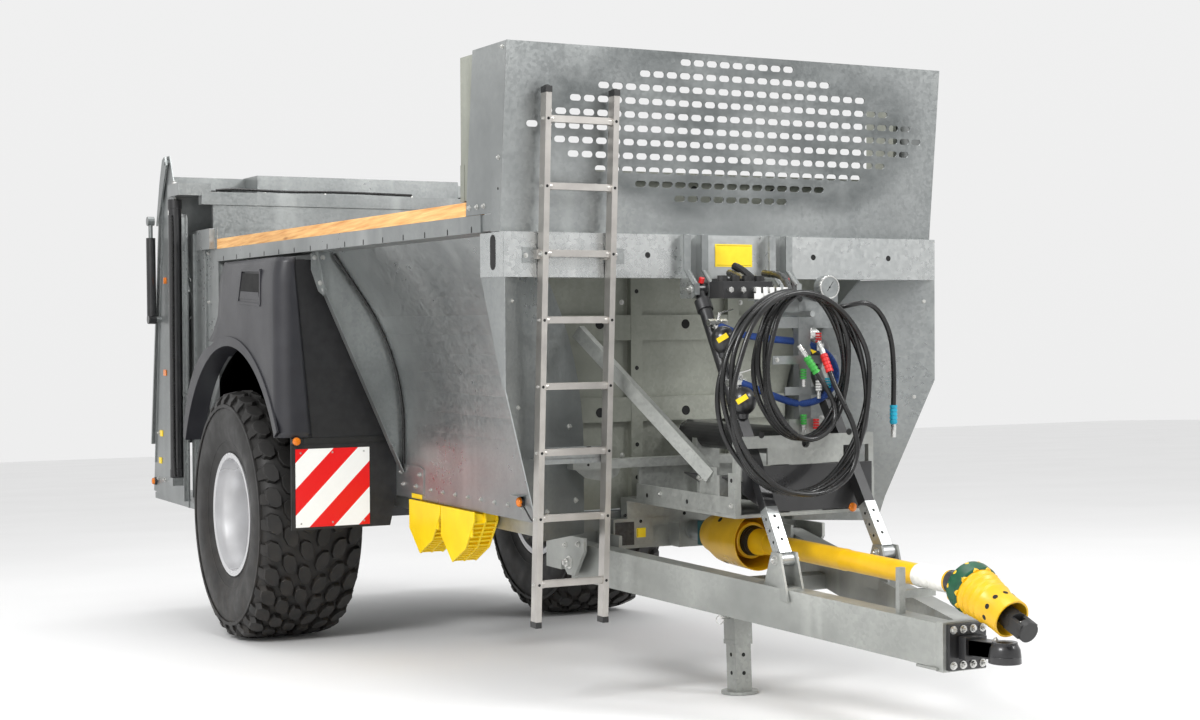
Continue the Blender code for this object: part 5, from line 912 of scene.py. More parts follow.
def strut(name, side):
    top = Vector((3.54, side * STRUT_Y, 1.95))
    foot = Vector((4.25, side * 0.25, 0.85))
    run = foot - top
    along = run.normalized()
    front = Vector((-along.z, 0, along.x)).normalized()
    if front.x < 0:
        front = -front
    at = lambda t: top + run * t
    half = 0.0335
    p = Piece("black_steel", "zinc_painted_highlight", "chrome", "red", "label", "cap_black", "hole", "bolt")
    p.rod(top - Vector((0, half, 0)), top + Vector((0, half, 0)), 0.03, segments=28)
    p.rod(at(0.0), at(0.05), 0.022).rod(at(0.045), at(0.085), 0.036, segments=28)
    p.rod(at(0.085), at(0.43), 0.0285, segments=28).rod(at(0.42), at(0.445), 0.034, segments=28)
    p.bar(at(0.44), at(0.83), 0.05, 0.05)
    # The galvanised inner tube uses the lighter zinc copy, a painted highlight.
    p.use("zinc_painted_highlight").bar(at(0.825), at(0.985), 0.0535, 0.0535)
    p.rod(foot - Vector((0, half, 0)), foot + Vector((0, half, 0)), 0.028, segments=28)
    # Near-black dots on the inner tube: painted shade for the adjustment holes.
    for t in (0.86, 0.90, 0.94):
        for k in (-1, 1):
            p.use("hole").rod(at(t) + Vector((0, k * 0.0262, 0)), at(t) + Vector((0, k * 0.0275, 0)), 0.0065)
        p.rod(at(t) + front * 0.0262, at(t) + front * 0.0275, 0.0065)
    for k in (-1, 1):
        p.use("bolt").bolt(foot + Vector((0, k * 0.0445, 0)), (0, k, 0), 0.015)
        p.bolt(top + Vector((0, k * 0.0445, 0)), (0, k, 0), 0.014)
    p.use("red").rod(top + Vector((0.02, 0, 0.028)), top + Vector((0.028, 0, 0.05)), 0.012)
    for t in ((0.195, 0.425) if side < 0 else (0.24,)):
        centre = at(t + 0.035) + front * 0.062
        p.use("black_steel").ball(centre, 0.056, (1, 1, 1.08))
        p.rod(centre - front * 0.05, centre, 0.026)
        p.rod(centre - Vector((0, 0, 0.075)), centre, 0.021, 0.034)
        p.use("cap_black").rod(centre + Vector((0, 0, 0.022)), centre + Vector((0, 0, 0.052)), 0.036, 0.024)
        label_at = centre + Vector((0.038, -0.032, 0.006))
        p.use("label").bar(label_at + Vector((0.002, -0.024, -0.010)), label_at + Vector((0.018, 0.016, 0.016)), 0.008, 0.022)
        valve = at(t - 0.035) + front * 0.055
        p.use("chrome").rod(valve - Vector((0, 0.045, 0)), valve + Vector((0, 0.045, 0)), 0.017, segments=6)
        p.rod(valve - Vector((0, 0, 0.03)), valve + Vector((0, 0, 0.012)), 0.013)
        p.rod(valve - front * 0.05, valve, 0.014)
        p.rod(valve, valve + Vector((0.012, 0.004, 0.042)), 0.007)
        p.bar(valve + Vector((0.01, 0.0, 0.040)), valve + Vector((0.022, 0.065, 0.058)), 0.012, 0.006)
    p.finish("strut_" + name, "chassis", "black_steel", bevel=0.0012, replaces=("drawbar_strut_" + name,))


for name, side in SIDES.items():
    strut(name, side)

# --------------------------------------------------- drive shaft and bell


def shaft_point(x):
    return Vector((x, 0, SHAFT_Z - SHAFT_SLOPE * (x - SHAFT_X)))


def along_profile(piece, start, end, profile, steps=48):
    """A lathe between two points; profile is (radius, share of the run)."""
    start, end = Vector(start), Vector(end)
    run = end - start
    return piece.lathe([(r, t * run.length) for r, t in profile], start, run, steps)


def drive_shaft():
    p = Piece("yellow_plastic", "cap_black", "wrap", "collar", "plate", "chrome", "hole")
    pivot = shaft_point(SHAFT_X)
    bend = shaft_point(SHAFT_BEND_X)
    end = Vector((SHAFT_END_X, 0, bend.z - SHAFT_DROOP))
    p.use("chrome").ball(pivot, 0.034)
    rear = [(0.044, 0), (0.070, 0.0), (0.074, 0.5), (0.080, 0.80), (0.080, 0.93), (0.074, 0.95), (0.066, 0.95), (0.044, 0.9)]
    along_profile(p.use("yellow_plastic"), shaft_point(SHAFT_X + 0.012), shaft_point(SHAFT_X + 0.20), rear)
    bellows = [(0.044, 0)] + [(0.066 - 0.012 * i / 8 + (0.004 if i % 2 else 0.0), i / 8) for i in range(9)] + [(0.044, 1)]
    along_profile(p.use("cap_black"), shaft_point(SHAFT_X + 0.18), shaft_point(SHAFT_X + 0.245), bellows)
    along_profile(p.use("yellow_plastic"), shaft_point(SHAFT_X + 0.24), shaft_point(SHAFT_X + 0.33),
                  [(0.044, 0), (0.058, 0), (0.058, 0.25), (0.051, 0.5), (0.047, 1), (0.044, 1)])
    tube = [(0.040, 0), (0.0445, 0), (0.0445, 0.485), (0.0452, 0.49), (0.0452, 0.50), (0.0425, 0.505), (0.0425, 1), (0.038, 1)]
    along_profile(p.use("yellow_plastic"), shaft_point(SHAFT_X + 0.15), shaft_point(SHAFT_BEND_X - 0.02), tube)
    p.use("wrap")
    steps = [(0.0435, 0)] + [(0.0448 + 0.0016 * sin(i * 2.1) * sin(i * 0.7), 0.02 + 0.96 * i / 14) for i in range(15)]
    along_profile(p, shaft_point(4.80), shaft_point(4.99), steps + [(0.0435, 1)])
    along_profile(p.use("plate"), shaft_point(5.00), shaft_point(5.045), [(0.043, 0), (0.0448, 0.02), (0.0448, 0.98), (0.043, 1)])
    cone_end = bend.lerp(end, 0.72)
    cone = [(0.050, -0.10), (0.092, -0.02), (0.0965, 0.05), (0.0965, 0.13), (0.088, 0.16), (0.091, 0.22), (0.084, 0.27),
            (0.088, 0.33), (0.080, 0.38), (0.084, 0.44), (0.0775, 0.49), (0.081, 0.56), (0.073, 0.64), (0.0735, 1.0),
            (0.066, 1.0), (0.062, 0.5), (0.046, 0.0)]
    along_profile(p.use("yellow_plastic"), bend, cone_end, cone)
    axis = (end - bend).normalized()
    across = Vector((0, 1, 0))
    over = axis.cross(across)
    p.use("collar")
    along_profile(p, bend - axis * 0.020, bend + axis * 0.046, [(0.060, 0), (0.090, 0.02), (0.0968, 0.35), (0.0968, 0.9), (0.09, 1)])
    for i in range(10):
        angle = 2 * pi * i / 10
        out = across * cos(angle) + over * sin(angle)
        p.use("yellow_plastic").rod(bend - axis * 0.012 + out * 0.078, bend + axis * 0.050 + out * 0.083, 0.0165, 0.0145)
    # Near-black dots on the cone: painted shade for its holes.
    for i in range(10):
        angle = 2 * pi * (i + 0.5) / 10
        out = across * cos(angle) + over * sin(angle)
        at = bend + axis * 0.19 + out * 0.0722
        p.use("hole").rod(at, at + out * 0.0016, 0.010, segments=16)
    p.use("cap_black").rod(bend.lerp(end, 0.45), bend.lerp(end, 0.80), 0.040, segments=32)
    tip = bend.lerp(end, 0.80)
    for k in (-1, 1):
        p.bar(tip + across * k * 0.028 - axis * 0.02, end - axis * 0.008 + across * k * 0.028, 0.020, 0.052)
    p.rod(end - axis * 0.03, end, 0.039, segments=32)
    p.use("chrome").rod(end - axis * 0.05, end - axis * 0.0006, 0.021, segments=24)
    p.finish("shaft_guard", "shaft", "yellow_plastic", bevel=0.0008, smooth=30, replaces=("drive_shaft",))
    b = Piece("yellow_plastic", "hole", "teal", "galvanised", "chrome")
    profile = [(0.1295, 3.6795), (0.1215, 3.46), (0.1175, 3.43), (0.088, 3.335), (0.0845, 3.312), (0.030, 3.312),
               (0.030, 3.3195), (0.078, 3.3195), (0.082, 3.335), (0.1115, 3.43), (0.1155, 3.46), (0.1225, 3.672), (0.127, 3.6795)]
    b.lathe(profile, (0, 0, SHAFT_Z), (1, 0, 0), 72)
    # Near-black dots on the bell: painted shade for its holes.
    for angle in (2.4, 4.2, 0.3):
        out = Vector((0, cos(angle), sin(angle)))
        at = Vector((3.50, 0, SHAFT_Z)) + out * 0.1215
        b.use("hole").rod(at, at + out * 0.0022, 0.013, segments=20)
    b.finish("bell_guard", "chassis", "yellow_plastic", bevel=0.001, replaces=("drive_bell",))
    g = Piece("flange", "galvanised", "chrome", "bolt")
    g.block((3.245, -0.055, SHAFT_Z - 0.055), (3.300, 0.055, SHAFT_Z + 0.055))
    g.use("galvanised").lathe([(0.0455, 3.14), (0.0475, 3.14), (0.0475, 3.24), (0.0455, 3.24)], (0, 0, SHAFT_Z), (1, 0, 0), 40)
    for y in (-0.04, 0.04):
        for z in (-0.04, 0.04):
            g.use("bolt").bolt((3.300, y, SHAFT_Z + z), (1, 0, 0), 0.006)
    g.finish("gearbox_flange", "chassis", "black_steel", bevel=0.002)


drive_shaft()

# ------------------------------------------------------------ drawbar area


def drawbar_details():
    d = Piece("bolt", "hole", "galvanised", "plate", "label", "chrome", "cap_black", "red", "amber", "zinc_dull")
    for side in SIDES.values():
        for y in (0.64, 0.448):
            d.use("bolt").bolt((3.11, side * y, 0.74), (0, side if y > 0.5 else -side, 0), 0.022)
        d.use("bolt").bolt((3.075, side * 0.6405, 0.815), (0, side, 0), 0.010)
        d.bolt((3.20, side * 0.6405, 0.83), (0, side, 0), 0.010)
    face = 3.1202
    d.use("plate").block((face, -0.413, 0.80), (face + 0.0015, -0.315, 0.905))
    d.use("label").block((face, -0.302, 0.832), (face + 0.0015, -0.255, 0.875))
    d.use("hole").block((face + 0.0014, -0.298, 0.836), (face + 0.0018, -0.296, 0.871))
    # Near-black discs on the frame face: painted shade for the bolt holes.
    for y, z in ((-0.36, 0.935), (-0.28, 0.905), (-0.05, 0.93), (0.2, 0.93), (0.36, 0.93)):
        disc_mark(d, (face, y, z), (1, 0, 0), 0.008)
    nose = 5.06 + 0.012 + 0.0003 + 0.02
    for y in (-0.068, -0.023, 0.023, 0.068):
        for z in (-0.066, 0.066):
            d.use("bolt").bolt((nose, y, 0.603 + z), (1, 0, 0), 0.0115)
    for k in (-1, 1):
        d.use("zinc_dull").bar((4.93, k * 0.105, 0.52), (5.045, k * 0.10, 0.52), 0.02, 0.01)
    d.finish("drawbar_details", "chassis", "galvanised", bevel=0.001)
    c = Piece("black_steel", "bolt")
    c.rod((5.30, 0, 0.574), (5.30, 0, 0.60), 0.0598, 0.0585, segments=40)
    c.lathe([(0.0005, 0.655), (0.030, 0.652), (0.046, 0.642), (0.055, 0.624), (0.0585, 0.60), (0.0005, 0.60)], (5.30, 0, 0), (0, 0, 1), 40)
    c.bar((5.11, 0, 0.606), (5.27, 0, 0.617), 0.070, 0.058).bar((5.10, 0, 0.604), (5.14, 0, 0.604), 0.10, 0.085)
    c.use("bolt").bolt((5.25, 0, 0.645), (0, 0, 1), 0.010)
    c.finish("coupling_cup", "chassis", "black_steel", bevel=0.004)
    j = Piece("hole", "bolt", "chrome")
    low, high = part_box("jack_leg")
    x, y = (low.x + high.x) / 2, (low.y + high.y) / 2
    # Near-black discs on the jack leg: painted shade for the pin holes.
    for z in (0.09, 0.17, 0.25):
        disc_mark(j, (x + 0.0392, y, z), (1, 0, 0), 0.009)
        disc_mark(j, (x, y - 0.0392, z), (0, -1, 0), 0.009)
    j.finish("jack_holes", "jack", "galvanised", frame_matrix=Matrix.Identity(4))
    k = Piece("chrome", "bolt", "zinc_dull")
    k.rod((x, y - 0.085, 0.335), (x, y - 0.0455, 0.335), 0.008).rod((x, y + 0.0455, 0.335), (x, y + 0.06, 0.335), 0.008)
    k.lathe([(0.016, -0.002), (0.021, -0.002), (0.021, 0.002), (0.016, 0.002)], (x, y - 0.09, 0.325), (1, 0, 0), 24)
    k.use("zinc_dull").block((x - 0.047, y - 0.047, 0.215), (x + 0.047, y - 0.0445, 0.235))
    k.finish("jack_pin", "chassis", "galvanised", bevel=0.0008, frame_matrix=Matrix.Identity(4))


drawbar_details()


def holder_details():
    """Gauge, hose clips, valve block, parked couplers and their rack."""
    h = Piece("galvanised", "white", "dial", "chrome", "hole", "cap_black", "black_steel", "bolt", "red", "green", "teal",
              "yellow_plastic", "hose_rubber", "amber")
    gauge = Vector((4.068, 0.10, 1.95))
    h.use("chrome").lathe([(0.0, -0.014), (0.049, -0.014), (0.050, 0.0), (0.048, 0.004), (0.043, 0.004), (0.043, 0.0),
                           (0.0, 0.0)][1:], gauge, (1, 0, 0), 48)
    h.use("dial").rod(gauge - Vector((0.012, 0, 0)), gauge + Vector((0.001, 0, 0)), 0.043, segments=48)
    h.use("hole")
    for i in range(11):
        angle = radians(225 - 27 * i)
        out = Vector((0, cos(angle), sin(angle)))
        h.bar(gauge + out * 0.032 + Vector((0.0014, 0, 0)), gauge + out * 0.039 + Vector((0.0014, 0, 0)), 0.0016, 0.0008, (1, 0, 0))
    h.bar(gauge + Vector((0.0018, -0.012, -0.016)), gauge + Vector((0.0018, 0.018, 0.024)), 0.0026, 0.001, (1, 0, 0))
    h.rod(gauge, gauge + Vector((0.003, 0, 0)), 0.004)
    for i in range(5):
        y = -0.215 + 0.033 * i
        h.use("white").block((3.995, y - 0.011, 1.90), (4.030, y + 0.011, 1.925)).rod((4.012, y, 1.922), (4.012, y, 1.95), 0.010)
    h.use("galvanised").block((4.015, -0.24, 1.875), (4.021, 0.16, 1.90)).block((3.97, -0.24, 1.895), (4.021, -0.02, 1.900))
    h.block((4.028, -0.16, 1.63), (4.033, 0.16, 1.665)).block((4.028, -0.10, 1.50), (4.033, 0.12, 1.535))
    for y in (-0.14, 0.14):
        h.use("bolt").bolt((4.033, y, 1.648), (1, 0, 0), 0.007)
    for colour, y, z in (("red", 0.053, 1.76), ("green", -0.023, 1.61), ("white", 0.053, 1.56), ("teal", 0.10, 1.57),
                         ("green", -0.023, 1.42), ("red", 0.040, 1.40)):
        for i in range(4):
            h.use(colour).rod((4.055, y, z - 0.011 * i), (4.055, y, z - 0.011 * i - 0.008), 0.013)
        h.use("chrome").rod((4.055, y, z - 0.044), (4.055, y, z - 0.075), 0.009)
    h.use("black_steel").block((3.86, -0.36, 1.905), (3.97, -0.12, 1.975)).block((3.78, -0.30, 1.92), (3.87, -0.14, 1.99))
    for y in (-0.33, -0.27, -0.21, -0.15):
        h.use("cap_black").rod((3.915, y, 1.97), (3.915, y, 2.0), 0.022)
        h.use("chrome").rod((3.965, y, 1.94), (3.985, y, 1.94), 0.013, segments=6)
    h.use("hose_rubber")
    for start, middle, stop in (((3.60, -0.10, 2.02), (3.75, -0.14, 2.0), (3.92, -0.22, 1.965)),
                                ((3.58, 0.0, 2.0), (3.74, -0.05, 1.99), (3.95, -0.12, 1.95)),
                                ((3.6, 0.08, 2.02), (3.80, 0.04, 2.0), (4.0, -0.05, 1.93))):
        h.tube(smooth_line([start, middle, stop]), 0.016)
    h.use("hose_rubber").tube(smooth_line([(3.62, -0.09, 2.05), (3.66, -0.075, 2.03), (3.76, -0.04, 1.95)]), lambda t: 0.017 + 0.008 * t)
    h.finish("holder_details", "chassis", "galvanised", bevel=0.001)


holder_details()

# -------------------------------------------------------------- walls


def wall_details(name, side):
    d = Piece("bolt", "hole", "cap_black", "amber", "label", "galvanised", "chrome", "hose_rubber")
    out = (0, side, 0)
    face = FLOOR_HALF + SHEET
    x = -0.4
    while x < 2.85:
        if not 0.85 < x < 1.35:
            d.use("bolt").bolt((x, side * face, 0.928), out, 0.009)
        x += 0.16
    # Near-black slots under the rim: painted shade for the slotted holes.
    x = -0.50
    while x < 3.2:
        loop = [(x - 0.006, 2.197), (x + 0.006, 2.197), (x + 0.0055, 2.220), (x, 2.226), (x - 0.0055, 2.220)]
        ends = sorted((side * (RIM_Y - 0.002), side * (RIM_Y + 0.0006)))
        d.use("hole").slab(loop, "XZ", *ends)
        x += 0.26
    heights = [1.24 + 0.045 * i for i in range(22)]
    # A thin black tube along the joint where the curved wall meets the rib, darker than the wall.
    joint_line = [(0.995, side * (wall_y(z, SHEET) + 0.006), z) for z in [1.02, 1.12, *heights] if z < 2.19]
    d.use("hose_rubber").tube(smooth_line(joint_line, 0.04), 0.009)
    d.use("galvanised").slab([(0.93, 0.90), (1.27, 0.90), (1.27, 1.03), (1.22, 1.045), (0.93, 1.045)], "XZ",
                             *sorted((side * (face + 0.0002), side * (face + 0.006))))
    for bx, bz in ((0.99, 0.935), (1.17, 0.935), (1.22, 1.0), (0.96, 1.0)):
        d.use("bolt").bolt((bx, side * (face + 0.006), bz), out, 0.011)
    d.use("label").block((1.10, side * (face + 0.0002), 0.868), (1.24, side * (face + 0.004), 0.893))
    bracket = [(side * 1.085, 2.19), (side * 0.992, 2.19), (side * 0.995, 1.985), (side * 1.02, 1.965), (side * 1.045, 1.985),
               (side * 1.085, 2.10)]
    d.use("galvanised").slab(bracket, "YZ", 0.967, 0.973)
    for y, z in ((1.065, 2.165), (1.02, 2.165), (1.015, 1.995), (1.035, 2.03)):
        d.use("bolt").bolt((0.973, side * y, z), (1, 0, 0), 0.010)
    lamp(d, (2.476, side * face, 0.955), out, 0.026)
    d.use("galvanised").block((2.44, side * face, 0.985), (2.52, side * (face + 0.05), 0.989))
    d.use("hose_rubber").tube(smooth_line([(2.49, side * (face + 0.012), 0.95), (2.55, side * (face + 0.02), 0.925),
                                           (2.58, side * (face + 0.006), 0.88), (2.60, side * face, 0.87)], 0.02), 0.004)
    d.finish("wall_details_" + name, "chassis", "galvanised", bevel=0.0008)
    c = Piece("bolt", "label", "galvanised")
    run = Vector((3.459 - 3.10, side * (RIM_Y - 0.566), 0)).normalized()
    normal = Vector((run.y * side, -run.x * side, 0)) * side
    if normal.x < 0:
        normal = -normal
    for share, z in ((0.93, 1.90), (0.86, 1.45), (0.50, 0.99), (0.12, 1.02), (0.2, 1.35)):
        base = Vector((3.10, side * 0.566, z)) + run * share * 0.66 + normal * 0.0066
        c.use("bolt").bolt(base, normal, 0.010)
    if side < 0:
        base = Vector((3.10, side * 0.566, 1.05)) + run * 0.24 + normal * 0.0068
        c.use("label").bar(base - run * 0.06, base + run * 0.06, 0.0016, 0.06)
    c.finish("corner_details_" + name, "chassis", "galvanised", bevel=0.0006)


def mud_details(name, side):
    x = 0.8857 - 0.007 + 0.0145
    x = 0.878 - 0.007 - 0.0003 + 0.0031
    d = Piece("stripes", "bolt", "cap_black", "amber", "galvanised")
    high = 1.17 - 0.022
    d.block((x - 0.004, side * (high - 0.423), 0.714), (x + 0.0006, side * high, 0.714 + 0.423))
    for y in (high - 0.03, high - 0.21, high - 0.39):
        for z in (0.735, 1.115):
            d.use("bolt").rod((x, side * y, z), (x + 0.003, side * y, z), 0.006, 0.004)
    lamp(d, (x - 0.003, side * 1.145, 1.18), (1, 0, 0), 0.024)
    d.use("cap_black").block((x - 0.006, side * 0.60, 1.165), (x + 0.004, side * 1.10, 1.195))
    d.finish("marking_" + name, "chassis", "black_board", bevel=0.0006)


for name, side in SIDES.items():
    wall_details(name, side)
    mud_details(name, side)


# -------------------------------------------------------------- fenders

FENDER_Y = 1.245
FENDER_FRONT = 0.878
ARCH = 0.97


def fender(name, side):
    """Moulded shell: a rounded front corner, the arch lip and the scoop."""
    low_z, top_z = 1.20, 2.17
    radius = 0.075
    rows, columns = 34, 26
    bm = bmesh.new()
    grid = []
    for i in range(rows + 1):
        z = low_z + (top_z - low_z) * i / rows
        lean = 1.057 + (1.15 - 1.057) * (z - low_z) / (top_z - low_z)
        if z - TYRE_RADIUS < ARCH:
            arch_x = sqrt(ARCH ** 2 - (z - TYRE_RADIUS) ** 2)
        else:
            arch_x = -2.0
        upper = [(1.62, -0.60), (1.66, -0.52), (1.76, -0.30), (1.86, -0.20), (2.17, -0.13)]
        rear = -0.60
        for (z0, x0), (z1, x1) in zip(upper, upper[1:]):
            if z0 <= z <= z1:
                rear = x0 + (x1 - x0) * (z - z0) / (z1 - z0)
        start = max(arch_x, rear) if arch_x > 0 else rear
        if z < 1.62 and arch_x > 0:
            start = arch_x
        crown = 0.022 * max(0, (z - 2.02) / 0.15) ** 2
        side_y = FENDER_Y - crown
        line = []
        flat = columns - 10
        for k in range(flat + 1):
            line.append((start + (FENDER_FRONT - radius - start) * k / flat, side_y))
        for k in range(1, 7):
            angle = pi / 2 * k / 6
            line.append((FENDER_FRONT - radius + radius * sin(angle), side_y - radius * (1 - cos(angle))))
        inner = min(lean, side_y - radius - 0.01)
        for k in range(1, 5):
            line.append((FENDER_FRONT, side_y - radius - (side_y - radius - inner) * k / 4))
        grid.append([bm.verts.new((x, side * y, z)) for x, y in line])
    for a, b in zip(grid, grid[1:]):
        for k in range(len(a) - 1):
            bm.faces.new((a[k], a[k + 1], b[k + 1], b[k]))
    bmesh.ops.recalc_face_normals(bm, faces=bm.faces)
    mesh = bpy.data.meshes.new("fender_shell_" + name)
    bm.to_mesh(mesh)
    bm.free()
    mesh.transform(MACHINE)
    mesh.materials.append(M["fender_plastic"])
    mesh.shade_smooth()
    shell = bpy.data.objects.new("fender_shell_" + name, mesh)
    bpy.context.scene.collection.objects.link(shell)
    thick = shell.modifiers.new("thickness", "SOLIDIFY")
    thick.thickness = 0.006
    thick.offset = 0
    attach(shell, "chassis")
    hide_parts("fender_" + name)
    d = Piece("fender_plastic", "hole", "black_board")
    start = asin((1.205 - TYRE_RADIUS) / ARCH)
    end = pi - asin((1.62 - TYRE_RADIUS) / ARCH)
    arch = [start + (end - start) * i / 40 for i in range(41)]
    lip = [(ARCH * cos(a), TYRE_RADIUS + ARCH * sin(a)) for a in arch]
    lip += [((ARCH + 0.055) * cos(a), TYRE_RADIUS + (ARCH + 0.055) * sin(a)) for a in reversed(arch)]
    d.slab(lip, "XZ", *sorted((side * (FENDER_Y - 0.002), side * (FENDER_Y + 0.011))))
    liner = [(ARCH * cos(a), TYRE_RADIUS + ARCH * sin(a)) for a in arch]
    liner += [((ARCH + 0.006) * cos(a), TYRE_RADIUS + (ARCH + 0.006) * sin(a)) for a in reversed(arch)]
    d.slab(liner, "XZ", *sorted((side * 1.01, side * FENDER_Y)))
    tail_end = pi - asin((1.10 - TYRE_RADIUS) / ARCH)
    tail = [end - 0.06 + (tail_end - end + 0.06) * i / 16 for i in range(17)]
    width = lambda i: 0.055 + 0.05 * sin(pi * i / 16)
    band = [(ARCH * cos(a), TYRE_RADIUS + ARCH * sin(a)) for a in tail]
    band += [((ARCH + width(i)) * cos(a), TYRE_RADIUS + (ARCH + width(i)) * sin(a)) for i, a in reversed(list(enumerate(tail)))]
    d.slab(band, "XZ", *sorted((side * (FENDER_Y - 0.006), side * (FENDER_Y + 0.009))))
    inner = [(ARCH * cos(a), TYRE_RADIUS + ARCH * sin(a)) for a in tail]
    inner += [((ARCH + 0.006) * cos(a), TYRE_RADIUS + (ARCH + 0.006) * sin(a)) for a in reversed(tail)]
    d.slab(inner, "XZ", *sorted((side * 1.135, side * FENDER_Y)))
    cover = [start + 0.02 + (tail_end - start - 0.02) * i / 40 for i in range(41)]
    shade = [((ARCH - 0.004) * cos(a), TYRE_RADIUS + (ARCH - 0.004) * sin(a)) for a in cover]
    shade += [(ARCH * cos(a), TYRE_RADIUS + ARCH * sin(a)) for a in reversed(cover)]
    d.use("black_board").slab(shade, "XZ", *sorted((side * 0.67, side * 1.118))).use("fender_plastic")
    top = [(-0.13, 2.155), (0.80, 2.155), (0.80, 2.161), (-0.13, 2.161)]
    d.slab(top, "XZ", *sorted((side * 1.06, side * (FENDER_Y - 0.024))))
    frame_loop = [(0.20, 1.935), (0.60, 1.915), (0.605, 2.105), (0.275, 2.115)]
    # A near-black inset inside the frame: painted shade for the recess behind it.
    d.use("hole").slab([(0.225, 1.962), (0.585, 1.945), (0.587, 2.088), (0.288, 2.098)], "XZ",
                       *sorted((side * (FENDER_Y - 0.004), side * (FENDER_Y + 0.0042))))
    d.use("fender_plastic")
    for (xa, za), (xb, zb) in zip(frame_loop, frame_loop[1:] + frame_loop[:1]):
        d.bar((xa, side * (FENDER_Y + 0.001), za), (xb, side * (FENDER_Y + 0.001), zb), 0.014, 0.016)
    d.slab([(0.235, 1.958), (0.588, 1.942), (0.575, 1.985), (0.255, 1.998)], "XZ",
           *sorted((side * (FENDER_Y + 0.001), side * (FENDER_Y + 0.0068))))
    d.finish("fender_lip_" + name, "chassis", "fender_plastic", bevel=0.006, segments=3)


for name, side in SIDES.items():
    fender(name, side)

# ------------------------------------------------------------- chocks


def chocks():
    for label, rear in (("front", 1.56), ("rear", 1.13)):
        p = Piece("chock_yellow", "cap_black")
        top = 0.8645
        outer = FLOOR_HALF + 0.04
        y0, y1 = -outer + 0.0005, -outer + 0.1395
        outline = [(rear + 0.001, top), (rear + 0.419, top), (rear + 0.419, top - 0.05), (rear + 0.315, top - 0.192),
                   (rear + 0.147, top - 0.279), (rear + 0.001, top - 0.154)]
        inner = [(rear + 0.018, top - 0.012), (rear + 0.402, top - 0.012), (rear + 0.402, top - 0.05),
                 (rear + 0.305, top - 0.18), (rear + 0.147, top - 0.258), (rear + 0.018, top - 0.146)]
        p.slab(inner, "XZ", y0 + 0.012, y1 - 0.006)
        for y in (y0, (y0 + y1) / 2 - 0.006, y1 - 0.012):
            p.slab(outline, "XZ", y, y + 0.012)
        for (xa, za), (xb, zb) in zip(outline[2:], outline[3:]):
            steps = max(3, round(hypot(xb - xa, zb - za) / 0.028))
            for i in range(steps):
                t = (i + 0.5) / steps
                x, z = xa + (xb - xa) * t, za + (zb - za) * t
                nx, nz = (zb - za), -(xb - xa)
                size = hypot(nx, nz)
                nx, nz = nx / size, nz / size
                if nz > 0:
                    nx, nz = -nx, -nz
                p.bar((x - nx * 0.016, y0 + 0.002, z - nz * 0.016), (x - nx * 0.016, y1 - 0.002, z - nz * 0.016), 0.012, 0.030,
                      (nx, 0, nz))
        for i in range(6):
            x = rear + 0.05 + 0.062 * i
            p.slab([(x, top - 0.03), (x + 0.03, top - 0.03), (x + 0.03, top - 0.13), (x, top - 0.13)], "XZ", y0 + 0.004, y0 + 0.014)
        p.finish("chock_ribbed_" + label, "chassis", "yellow_plastic", bevel=0.003,
                 replaces=("wheel_chock_" + label,))


chocks()

# -------------------------------------------------------------- shield


def shield_details():
    d = Piece("shield_steel", "hole", "bolt", "shield_board")
    face = 3.02 + 0.0335
    # Near-black discs on the shield: painted shade for its holes.
    for y in (-0.45, 0.0, 0.45, 0.85, -0.85):
        for z in (1.80, 1.40):
            if abs(y) < wall_y(z) - 0.12:
                disc_mark(d.use("hole"), (face, y, z), (1, 0, 0), 0.022)
    for y in (-0.5, 0.07, 0.508, -0.93):
        disc_mark(d, (3.0205, y, 2.42), (1, 0, 0), 0.022)
    for side in SIDES.values():
        for z in (1.10, 1.25, 1.60, 1.95, 2.1):
            disc_mark(d.use("hole"), (3.0555, side * 0.26, z), (1, 0, 0), 0.010)
        d.use("bolt")
        for z in (1.2, 1.55, 1.9):
            d.bolt((3.0205, side * (0.26 + 0.06), z), (1, 0, 0), 0.009)
        d.use("shield_steel").bar((3.03, side * 1.06, 2.49), (3.17, side * 1.075, 2.40), 0.01, 0.03)
    d.use("shield_steel").block((3.0205, -1.08, 2.455), (3.045, 1.08, 2.492))
    d.finish("shield_details", "shield", "shield_board", bevel=0.0008)


shield_details()
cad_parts["push_shield"].data.materials[0] = M["shield_board"]


